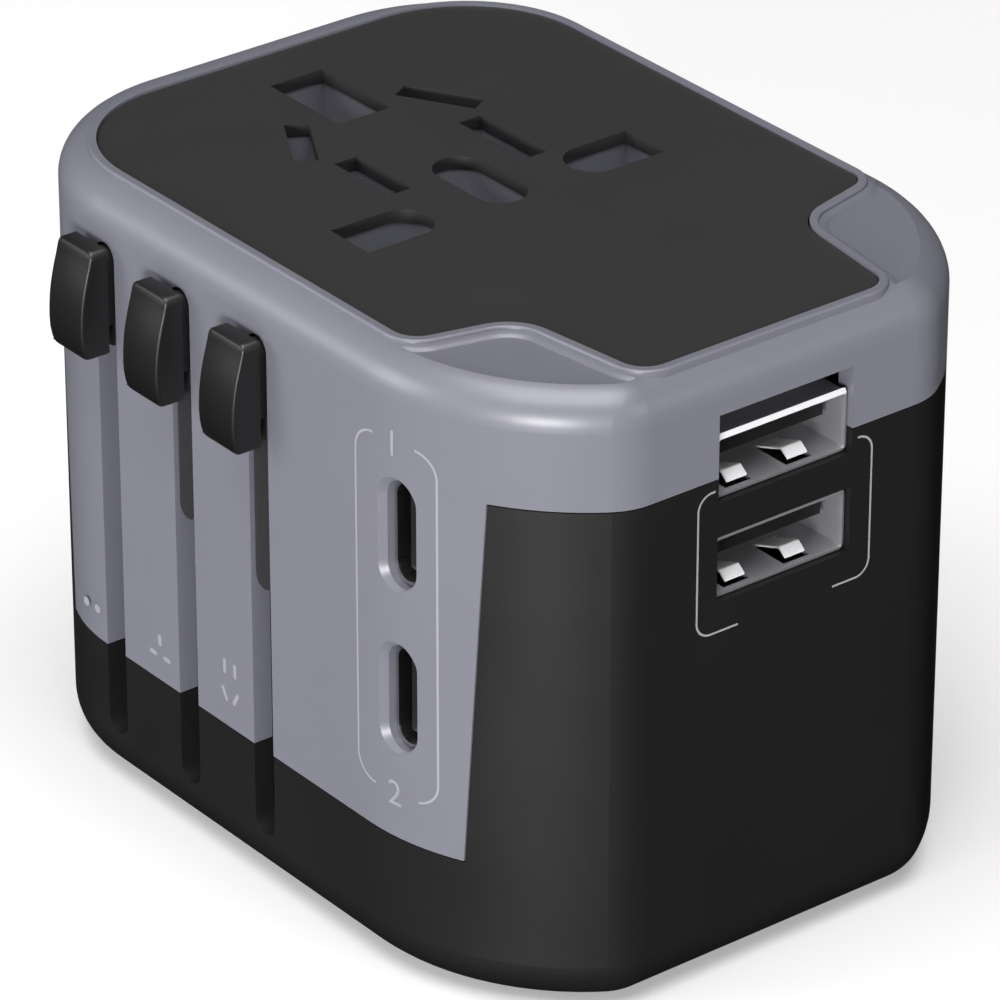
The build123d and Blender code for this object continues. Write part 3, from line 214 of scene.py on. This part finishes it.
def printed_frame(material, axes, low, high, radius, gaps, facing):
    """Prints an open round-cornered line frame over a material, laid out in millimetres on two axes."""
    tree = material.node_tree
    skin = next(node for node in tree.nodes if node.type == "BSDF_PRINCIPLED")
    place = add_node(tree, "ShaderNodeTexCoord").outputs["Object"]
    mm = add_node(tree, "ShaderNodeVectorMath", {"operation": "SCALE", "Scale": 1000.0}, {0: place})
    split = add_node(tree, "ShaderNodeSeparateXYZ", {}, {0: mm.outputs[0]})

    def maths(operation, first, second=0.0):
        given = {i: v for i, v in enumerate((first, second)) if not isinstance(v, float)}
        fixed = {i: v for i, v in enumerate((first, second)) if isinstance(v, float)}
        return add_node(tree, "ShaderNodeMath", {"operation": operation, **fixed}, given).outputs[0]

    beyond = []
    for axis, start, end in zip(axes, low, high):
        away = maths("ABSOLUTE", maths("SUBTRACT", split.outputs[axis], (start + end) / 2))
        beyond.append(maths("SUBTRACT", away, (end - start) / 2 - radius))
    outside = [maths("MAXIMUM", side, 0.0) for side in beyond]
    corner = maths("SQRT", maths("ADD", maths("POWER", outside[0], 2.0), maths("POWER", outside[1], 2.0)))
    inside = maths("MINIMUM", maths("MAXIMUM", *beyond), 0.0)
    reach = maths("SUBTRACT", maths("ADD", corner, inside), radius)
    ink = maths("LESS_THAN", maths("ABSOLUTE", reach), FRAME_LINE_MM / 2)
    for first, second in gaps:
        spots = []
        for axis, (start, end) in zip(axes, (first, second)):
            away = maths("ABSOLUTE", maths("SUBTRACT", split.outputs[axis], (start + end) / 2))
            spots.append(maths("LESS_THAN", away, (end - start) / 2))
        ink = maths("MULTIPLY", ink, maths("SUBTRACT", 1.0, maths("MULTIPLY", *spots)))
    side, sign, depth = facing
    near = maths("GREATER_THAN", maths("MULTIPLY", split.outputs[side], sign), depth)
    ink = maths("MULTIPLY", ink, near)
    tint = skin.inputs["Base Color"].links[0].from_socket
    print_mix = add_node(tree, "ShaderNodeMix", {"data_type": "RGBA", 7: rgb("909096")}, {0: ink, 6: tint})
    tree.links.new(print_mix.outputs[2], skin.inputs["Base Color"])


def finish_node(material, *nodes):
    """Gives CAD nodes their real material in every slot of their meshes."""
    for node in nodes:
        slots = frame["nodes"][node].material_slots
        for slot in slots:
            slot.material = material


shell_black = moulded_plastic("polycarbonate_black_satin", "161616", "191919", 0.42, 0.03)
printed_frame(
    shell_black, (1, 2), (-8.58, 31.35), (8.98, 43.85), 1.4,
    (((-4.4, 5.25), (30.0, 33.0)), ((-6.9, 7.5), (42.0, 45.0))), (0, 1.0, 33.0))
finish_node(shell_black, "lower_shell")

# ---- Upper shell ---------------------------------------------------------------------------
# The cap is the same polycarbonate in a bluish grey, with the raised rim round the socket plate and
# the apron that runs down the knob face, so the strips between the slots are part of it.
shell_grey = moulded_plastic("polycarbonate_bluegrey_satin", "6b6b75", "6e6e78", 0.36, 0.03)
printed_frame(
    shell_grey, (0, 2), (15.3, 16.6), (23.9, 47.8), 2.1,
    (((17.5, 21.9), (46.0, 49.0)), ((17.5, 22.1), (15.0, 18.0))), (1, -1.0, 20.0))
finish_node(shell_grey, "upper_shell")

# ---- Socket plate --------------------------------------------------------------------------
# A thin matt black plate is pressed into the rim and glued. Its skin is flatter than the shells'.
plate_black = moulded_plastic("abs_black_matt", "282828", "2a2a2a", 0.50, 0.02)
finish_node(plate_black, "top_plate")

# ---- Socket guide, carrier and shutter -----------------------------------------------------
# Below the plate are grey moulded walls that steer a plug, and the block that holds the contacts.
# The shutter between them is acetal, which is smoother and a little darker.
guide_grey = moulded_plastic("abs_grey_moulded", "7c7c86", "7f7f89", 0.45, 0.03)
finish_node(guide_grey, "socket_guide", "contact_carrier")
shutter_grey = moulded_plastic("acetal_grey_smooth", "5c5c66", "60606a", 0.35, 0.02)
finish_node(shutter_grey, "shutter")

# ---- Carriages -----------------------------------------------------------------------------
# A nylon bar carries each plug, with an arm up the inside of its slot. It is moulded in black and
# runs smooth against the case.
carriage_black = moulded_plastic("nylon_black_smooth", "2a2a2b", "2d2d2e", 0.4, 0.03)
finish_node(carriage_black, "eu_carriage", "uk_carriage", "us_carriage")


# ---- Knobs ---------------------------------------------------------------------------------
# Each slider has a thumb cap of black ABS, moulded in one piece with the neck that passes its slot.
# The cap swells towards its foot, its corners are round and its front outline is softened.
CAP_BACK_MM = 27.0
CAP_LEVELS_MM = (
    (0.0, 0.55), (0.4, 0.36), (0.9, 0.20), (1.7, 0.05), (2.6, 0.0), (3.6, 0.03), (4.5, 0.10), (5.4, 0.22),
    (6.3, 0.40), (7.2, 0.62), (8.0, 0.85), (8.8, 1.05), (9.5, 1.20))
CAP_CORNER_MM = 0.6
CAP_EDGE_MM = 0.28
NECK_R_MM = 1.05
NECK_TOP_DROP_MM = 1.5
NECK_RISE_MM = 2.4
NECK_SIDE_MM = 1.5
SMALL = 1e-5           # metres: two places nearer than this are the same
SHORTEST_RUN = 0.001   # metres: the edges sought by direction are all longer


def choose(kind, test):
    """Selects only the edit-mode verts, edges or faces that pass a test."""
    bpy.ops.mesh.select_all(action="DESELECT")
    bpy.ops.mesh.select_mode(type=kind)
    mesh = bmesh.from_edit_mesh(bpy.context.edit_object.data)
    for part in {"VERT": mesh.verts, "EDGE": mesh.edges, "FACE": mesh.faces}[kind]:
        if test(part):
            part.select_set(True)
    mesh.select_flush_mode()
    bmesh.update_edit_mesh(bpy.context.edit_object.data)


def start_block(name, low, high):
    """A cube stretched between two corners, left in edit mode."""
    bpy.ops.mesh.primitive_cube_add(size=1, location=(low + high) / 2)
    piece = bpy.context.object
    piece.name = name
    piece.scale = high - low
    bpy.ops.object.transform_apply(location=True, rotation=True, scale=True)
    bpy.ops.object.mode_set(mode="EDIT")
    return piece


def cut(at, normal):
    """Adds an edge loop where a plane crosses the whole mesh."""
    bpy.ops.mesh.select_all(action="SELECT")
    bpy.ops.mesh.bisect(plane_co=at, plane_no=normal, use_fill=False)


def edge_run(edge):
    """How far an edge runs along each axis, in metres."""
    return edge.verts[1].co - edge.verts[0].co


low, high = (Vector(corner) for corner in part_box("eu_knob"))
cap_high = Vector((high.x, -CAP_BACK_MM / 1000, high.z))
cap = start_block("thumb_cap_eu", low, cap_high)
for rise, _ in CAP_LEVELS_MM[1:-1]:
    cut((0, 0, low.z + rise / 1000), (0, 0, 1))
for rise, setback in CAP_LEVELS_MM:
    level = low.z + rise / 1000
    choose("VERT", lambda v: abs(v.co.z - level) < SMALL and abs(v.co.y - low.y) < SMALL)
    bpy.ops.transform.translate(value=(0, setback / 1000, 0))
choose("EDGE", lambda e: abs(edge_run(e).y) > SHORTEST_RUN and abs(edge_run(e).z) < SMALL and (
    min(abs(e.verts[0].co.z - low.z), abs(e.verts[0].co.z - high.z)) < SMALL))
bpy.ops.mesh.bevel(offset=CAP_CORNER_MM / 1000, segments=4, affect="EDGES")
choose("EDGE", lambda e: sum(f.normal.y < -0.6 for f in e.link_faces) == 1)
bpy.ops.mesh.bevel(offset=CAP_EDGE_MM / 1000, segments=3, affect="EDGES")
bpy.ops.object.mode_set(mode="OBJECT")

neck_x = high.x - NECK_SIDE_MM / 1000
neck_z = high.z - NECK_TOP_DROP_MM / 1000
neck_back = high.y
bpy.ops.mesh.primitive_cylinder_add(
    vertices=32, radius=NECK_R_MM / 1000, depth=neck_back - cap_high.y + CAP_EDGE_MM / 1000,
    location=(neck_x, (neck_back + cap_high.y - CAP_EDGE_MM / 1000) / 2, neck_z), rotation=(pi / 2, 0, 0))
neck = bpy.context.object
bpy.ops.object.transform_apply(location=True, rotation=True, scale=True)
bpy.ops.object.mode_set(mode="EDIT")
bpy.ops.mesh.select_all(action="SELECT")
bpy.ops.mesh.bisect(plane_co=(0, 0, neck_z), plane_no=(0, 0, 1), use_fill=True, clear_inner=True)
choose("FACE", lambda f: f.normal.z < -0.9)
bpy.ops.mesh.extrude_region_move(
    TRANSFORM_OT_translate={"value": (0, 0, low.z + NECK_RISE_MM / 1000 - neck_z)})
bpy.ops.object.mode_set(mode="OBJECT")
bpy.ops.object.select_all(action="DESELECT")
neck.select_set(True)
cap.select_set(True)
bpy.context.view_layer.objects.active = cap
bpy.ops.object.join()
bpy.ops.object.shade_smooth_by_angle(angle=radians(35))
knob_black = moulded_plastic("abs_black_satin", "111111", "131313", 0.42, 0.03)
cap.data.materials.append(knob_black)

uk_cap = place_copy("thumb_cap_uk", cap.data.copy())
uk_cap.data.transform(Matrix.Translation(Vector(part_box("uk_knob")[0]) - low))
us_cap = place_copy("thumb_cap_us", cap.data.copy())
us_cap.data.transform(Matrix.Translation(Vector(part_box("us_knob")[0]) - low))
for piece, region in ((cap, "eu"), (uk_cap, "uk"), (us_cap, "us")):
    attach(piece, region + "_button")
    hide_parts(region + "_knob")

# ---- Sleeves, door and port tongues --------------------------------------------------------
# Black nylon covers the upper part of the round and bar pins, closes the fuse well, and makes the
# tongues that carry the contacts in the ports.
sleeve_black = moulded_plastic("nylon_black_sleeve", "151515", "181818", 0.4, 0.03)
finish_node(
    sleeve_black, "eu_sleeve_left", "eu_sleeve_right", "uk_sleeve_left", "uk_sleeve_right", "fuse_lid",
    "usb_a_tongue_lower", "usb_a_tongue_upper", "usb_c_tongue_lower", "usb_c_tongue_upper")


# ---- Pins, contacts and the parts inside ---------------------------------------------------
# The pins are nickel-plated brass and the contacts bare brass, both with faint drawing marks. The
# board, transformer, capacitor and fuse are finished as the usual parts that they stand for.
SCRATCH_MM = 0.3
SCRATCH_STRETCH = 12.0
GLOSS_SPREAD = 0.06


def plated_metal(name, colour, roughness, metallic=1.0):
    """Rolled or drawn metal: faint scratches along the working direction over a plated skin."""
    material, tree, out = new_material(name)
    place = add_node(tree, "ShaderNodeTexCoord").outputs["Object"]
    drawn = add_node(
        tree, "ShaderNodeMapping", {"Scale": (1.0, 1.0, 1 / SCRATCH_STRETCH)}, {"Vector": place})
    marks = add_node(
        tree, "ShaderNodeTexNoise", {"Scale": grain_scale(SCRATCH_MM), "Detail": 4.0},
        {"Vector": drawn.outputs[0]})
    gloss = add_node(
        tree, "ShaderNodeMapRange",
        {"To Min": roughness - GLOSS_SPREAD, "To Max": roughness + GLOSS_SPREAD},
        {"Value": marks.outputs[0]})
    skin = add_node(
        tree, "ShaderNodeBsdfPrincipled", {"Base Color": rgb(colour), "Metallic": metallic},
        {"Roughness": gloss.outputs[0]})
    tree.links.new(skin.outputs["BSDF"], out.inputs["Surface"])
    return material


pin_nickel = plated_metal("nickel_plated_brass", "dcd8d0", 0.25)
finish_node(
    pin_nickel, "eu_pin_left", "eu_pin_right", "uk_pin_earth", "uk_pin_left", "uk_pin_right",
    "us_blade_left", "us_blade_right")
brass = plated_metal("rolled_brass", "d9b562", 0.3)
finish_node(brass, "contact_left", "contact_right", "contact_earth")
wire = plated_metal("spring_steel_wire", "c4c4c4", 0.28)
finish_node(wire, "fuse_spring")

# ---- Return springs ------------------------------------------------------------------------
# Cold-wound steel wire springs push out the knobs and close the shutter. One end of each is seated. Each
# coil here is a fixed copy carried by its joint's parent body.
def wound_spring(node, joint_name):
    """A copy of a spring's coil, with its points merged, smooth shaded and carried by its joint's parent
    body.
    """
    spring = place_copy(node + "_wound", frame["nodes"][node].data.copy())
    bpy.ops.object.select_all(action="DESELECT")
    spring.select_set(True)
    bpy.context.view_layer.objects.active = spring
    bpy.ops.object.mode_set(mode="EDIT")
    bpy.ops.mesh.select_all(action="SELECT")
    bpy.ops.mesh.remove_doubles(threshold=1e-7)
    bpy.ops.object.mode_set(mode="OBJECT")
    bpy.ops.object.shade_smooth_by_angle(angle=radians(40))
    spring.data.materials.clear()
    spring.data.materials.append(wire)
    joint = next(j for j in frame["joints"] if j["name"] == joint_name)
    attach(spring, joint["parent"])
    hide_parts(node)
    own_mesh(spring)


wound_spring("eu_knob_spring", "eu_knob_press")
wound_spring("uk_knob_spring", "uk_knob_press")
wound_spring("us_knob_spring", "us_knob_press")
wound_spring("shutter_spring_left", "shutter_slide")
wound_spring("shutter_spring_right", "shutter_slide")

# ---- USB-C receptacles ---------------------------------------------------------------------
# Each is a drawn oval sleeve of nickel-plated steel, set a little way behind its opening. It is
# smooth and bright, and shows only as a thin line round the dark mouth.
steel = plated_metal("nickel_plated_steel_sheet", "c8c8c8", 0.22)
finish_node(steel, "usb_c_shell_lower", "usb_c_shell_upper")

# ---- USB-A receptacles ---------------------------------------------------------------------
# A folded box of nickel-plated steel sheet with a flared mouth. Two leaf springs are cut from its
# floor and bent up to hold a plug, with the windows that they leave showing dark.
SHEET_MM = 0.3
FOLD_MM = 0.5
FLARE_MM = 0.12
FLARE_DEPTH_MM = 0.35
LEAF_ROOT_BACK_MM = 4.1
LEAF_CREST_BACK_MM = 1.3
LEAF_TIP_BACK_MM = 0.54
LEAF_CREST_MM = 1.0
LEAF_TIP_MM = 0.43
LEAF_W_MM = 2.0
LEAF_T_MM = 0.16
LEAF_BEND_MM = 0.12
WINDOW_END_GAP_MM = 0.1
LEAF_SIDES_MM = (-4.0, 2.1)
WINDOW_GAP_MM = 0.3
TOP_LIP_MM = 0.22

low, high = (Vector(corner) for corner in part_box("usb_a_shell_upper"))
middle = (low + high) / 2
port = start_block("usb_a_shell_bent_upper", low, high)
choose("FACE", lambda f: f.normal.x > 0.9)
bpy.ops.mesh.delete(type="FACE")
choose("EDGE", lambda e: abs(edge_run(e).x) > SHORTEST_RUN)
bpy.ops.mesh.bevel(offset=FOLD_MM / 1000, segments=3, affect="EDGES")
neck_in = high.x - FLARE_DEPTH_MM / 1000
cut((neck_in, 0, 0), (1, 0, 0))
choose("VERT", lambda v: v.co.x < neck_in + SMALL)
bpy.ops.transform.resize(value=(
    1, 1 - 2 * FLARE_MM / 1000 / (high.y - low.y), 1 - 2 * FLARE_MM / 1000 / (high.z - low.z)))
window_x = (
    high.x - (LEAF_ROOT_BACK_MM + WINDOW_END_GAP_MM) / 1000,
    high.x - (LEAF_TIP_BACK_MM - WINDOW_END_GAP_MM) / 1000)
window_half = (LEAF_W_MM / 2 + WINDOW_GAP_MM) / 1000
for x in window_x:
    cut((x, 0, 0), (1, 0, 0))
for side in LEAF_SIDES_MM:
    for edge in (-window_half, window_half):
        cut((0, middle.y + side / 1000 + edge, 0), (0, 1, 0))


def in_window(face):
    """True for a floor face where a leaf is cut out."""
    at = face.calc_center_median()
    across = min(abs(at.y - middle.y - side / 1000) for side in LEAF_SIDES_MM)
    return face.normal.z < -0.9 and window_x[0] < at.x < window_x[1] and across < window_half


choose("FACE", in_window)
bpy.ops.mesh.delete(type="FACE")
bpy.ops.object.mode_set(mode="OBJECT")
sheet_steel = port.modifiers.new("sheet", "SOLIDIFY")
sheet_steel.thickness = SHEET_MM / 1000
sheet_steel.offset = -1.0
bpy.ops.object.modifier_apply(modifier="sheet")

bpy.ops.object.mode_set(mode="EDIT")
choose("VERT", lambda v: v.co.x > high.x - SMALL and (
    high.z - 2 * SHEET_MM / 1000 < v.co.z < high.z - SHEET_MM / 2000))
bpy.ops.transform.translate(value=(0, 0, -TOP_LIP_MM / 1000))
bpy.ops.object.mode_set(mode="OBJECT")

leaves = []
for side in LEAF_SIDES_MM:
    across = middle.y + side / 1000
    floor_z = low.z + (FLARE_MM + SHEET_MM) / 1000
    leaf_half = LEAF_W_MM / 2000
    root = Vector((high.x - LEAF_ROOT_BACK_MM / 1000, across - leaf_half, floor_z - LEAF_T_MM / 1000))
    tip = Vector((high.x - LEAF_TIP_BACK_MM / 1000, across + leaf_half, floor_z))
    leaf = start_block("leaf", root, tip)
    crest = high.x - LEAF_CREST_BACK_MM / 1000
    cut((crest, 0, 0), (1, 0, 0))
    choose("VERT", lambda v: abs(v.co.x - crest) < SMALL)
    bpy.ops.transform.translate(value=(0, 0, LEAF_CREST_MM / 1000))
    choose("VERT", lambda v: abs(v.co.x - tip.x) < SMALL)
    bpy.ops.transform.translate(value=(0, 0, LEAF_TIP_MM / 1000))
    choose("EDGE", lambda e: abs(edge_run(e).y) > SHORTEST_RUN and abs(e.verts[0].co.x - crest) < SMALL)
    bpy.ops.mesh.bevel(offset=LEAF_BEND_MM / 1000, segments=3, affect="EDGES")
    bpy.ops.object.mode_set(mode="OBJECT")
    leaves.append(leaf)
bpy.ops.object.select_all(action="DESELECT")
leaf_faces = sum(len(leaf.data.polygons) for leaf in leaves)
for leaf in leaves:
    leaf.select_set(True)
port.select_set(True)
bpy.context.view_layer.objects.active = port
bpy.ops.object.join()
bpy.ops.object.shade_smooth_by_angle(angle=radians(30))
tin = plated_metal("tinned_steel_sheet", "8e8e92", 0.36, metallic=0.55)
# A near-white, barely metallic steel: a painted highlight on the leaf springs and on the upper port's top
# lip, brighter than the sheet they are cut from.
bright = plated_metal("spring_steel_painted_highlight", "f0f0f2", 0.3, metallic=0.35)
for material in (tin, sleeve_black, bright):
    port.data.materials.append(material)
first_leaf = len(port.data.polygons) - leaf_faces
# The leaves and the upper top lip take the painted-highlight steel, faces at the back end take black nylon,
# and the rest is plain sheet.
for number, face in enumerate(port.data.polygons):
    painted_highlight_lip = face.normal.x > 0.9 and face.center.z > high.z - (SHEET_MM + TOP_LIP_MM) / 1000
    face.material_index = 2 if painted_highlight_lip or number >= first_leaf else int(
        face.center.x < low.x + 2 * SHEET_MM / 1000)

lower_port = place_copy("usb_a_shell_bent_lower", port.data.copy())
# On the lower copy the top lip keeps the plain sheet colour: painted shade, set against the painted
# highlight on the upper port's lip.
for face in lower_port.data.polygons:
    if face.center.z > high.z - (SHEET_MM + TOP_LIP_MM) / 1000:
        face.material_index = 0
lower_port.data.transform(Matrix.Translation(Vector(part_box("usb_a_shell_lower")[0]) - low))
for piece, level in ((port, "upper"), (lower_port, "lower")):
    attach(piece, "case")
    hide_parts("usb_a_shell_" + level)

# A small lamp beside the camera is linked to the two receptacles alone, and lights nothing else.
lit = bpy.data.collections.new("lit_by_port_lamp")
for piece in (port, lower_port):
    lit.objects.link(piece)
port_lamp = bpy.data.objects.new("lamp_port_mouths", bpy.data.lights.new("lamp_port_mouths", "AREA"))
bpy.context.collection.objects.link(port_lamp)
port_lamp.data.size = 0.25
port_lamp.data.energy = 3.0
port_lamp.location = (0.80, -0.30, 0.42)
port_lamp_aim = Vector((high.x, 0, low.z)) - port_lamp.location
port_lamp.rotation_euler = port_lamp_aim.to_track_quat("-Z", "Y").to_euler()
port_lamp.light_linking.receiver_collection = lit

# ---- Printed marks -------------------------------------------------------------------------
# Each strip carries a small drawing of its plug's pins, pad printed in light grey ink, and the two
# USB-C ports are numbered. The numerals follow the curve of the apron.
INK_LIFT_MM = 0.015
NUMERAL_MM = 3.2
MARK_EU_MM = (-21.5, 15.4)
MARK_UK_MM = (-11.8, 15.5)
MARK_US_MM = (-2.0, 16.8)
NUMERAL_X_MM = 19.7
NUMERAL_ONE_Z_MM = 46.6
NUMERAL_TWO_Z_MM = 15.5
shell_low = Vector(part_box("upper_shell")[0])
ink = moulded_plastic("pad_print_ink_grey", "86868e", "8a8a92", 0.5, 0.03)


def ink_bar(centre, shift, width, height, turn=0.0):
    """One printed shape with rounded ends, flat on the knob face, placed in millimetres."""
    at = ((centre[0] + shift[0]) / 1000, shell_low.y - INK_LIFT_MM / 1000, (centre[1] + shift[1]) / 1000)
    bpy.ops.mesh.primitive_plane_add(size=1, location=at, rotation=(pi / 2, turn, 0))
    bar = bpy.context.object
    bar.scale = (width / 1000, height / 1000, 1)
    bpy.ops.object.transform_apply(location=True, rotation=True, scale=True)
    bpy.ops.object.mode_set(mode="EDIT")
    bpy.ops.mesh.select_all(action="SELECT")
    bpy.ops.mesh.bevel(offset=0.48 * min(width, height) / 1000, segments=5, affect="VERTICES")
    bpy.ops.object.mode_set(mode="OBJECT")
    return bar


def print_mark(name, shapes):
    """Joins printed shapes into one mark that stays on the case."""
    bpy.ops.object.select_all(action="DESELECT")
    for shape in shapes:
        shape.select_set(True)
    bpy.context.view_layer.objects.active = shapes[0]
    if len(shapes) > 1:
        bpy.ops.object.join()
    mark = shapes[0]
    mark.name = name
    mark.data.materials.clear()
    mark.data.materials.append(ink)
    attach(mark, "case")


print_mark("pin_mark_eu", [ink_bar(MARK_EU_MM, (x, 0), 0.8, 0.8) for x in (-0.8, 0.8)])
print_mark("pin_mark_uk", [
    ink_bar(MARK_UK_MM, (0, 0.85), 0.5, 1.1), ink_bar(MARK_UK_MM, (-0.95, -0.6), 1.0, 0.45),
    ink_bar(MARK_UK_MM, (0.95, -0.6), 1.0, 0.45)])
print_mark("pin_mark_us", [
    ink_bar(MARK_US_MM, (-0.7, 1.3), 0.4, 1.4), ink_bar(MARK_US_MM, (0.7, 1.3), 0.4, 1.4),
    ink_bar(MARK_US_MM, (-0.75, -1.3), 0.4, 1.4, radians(-30)),
    ink_bar(MARK_US_MM, (0.75, -1.3), 0.4, 1.4, radians(30))])

for digit, z in (("1", NUMERAL_ONE_Z_MM), ("2", NUMERAL_TWO_Z_MM)):
    bpy.ops.object.text_add(
        location=(NUMERAL_X_MM / 1000, shell_low.y - INK_LIFT_MM / 1000, z / 1000), rotation=(pi / 2, 0, 0))
    numeral = bpy.context.object
    numeral.data.body = digit
    numeral.data.size = NUMERAL_MM / 1000
    numeral.data.align_x = "CENTER"
    bpy.ops.object.convert(target="MESH")
    numeral = bpy.context.object
    bpy.ops.object.transform_apply(location=True, rotation=True, scale=True)
    wrap = numeral.modifiers.new("wrap", "SHRINKWRAP")
    wrap.target = frame["nodes"]["upper_shell"]
    wrap.wrap_method = "PROJECT"
    wrap.use_project_y = True
    wrap.use_positive_direction = True
    wrap.use_negative_direction = True
    wrap.offset = 2 * INK_LIFT_MM / 1000
    bpy.ops.object.modifier_apply(modifier="wrap")
    print_mark("port_numeral_" + digit, [numeral])
board = moulded_plastic("glass_epoxy_board_green", "1d5a36", "1f603a", 0.3, 0.05)
finish_node(board, "charger_board")
ferrite = moulded_plastic("ferrite_and_tape", "3b3b3f", "424246", 0.5, 0.05)
finish_node(ferrite, "transformer")
can = plated_metal("aluminium_can", "c0c2c8", 0.3)
finish_node(can, "capacitor")
ceramic = moulded_plastic("glazed_ceramic_white", "e4ded0", "e9e3d6", 0.2, 0.03)
finish_node(ceramic, "fuse")
finish_node(pin_nickel, "fuse_cap_low", "fuse_cap_high")
zinc = plated_metal("zinc_plated_steel", "b8babf", 0.32)
finish_node(zinc, "case_screw_1", "case_screw_2", "case_screw_3")
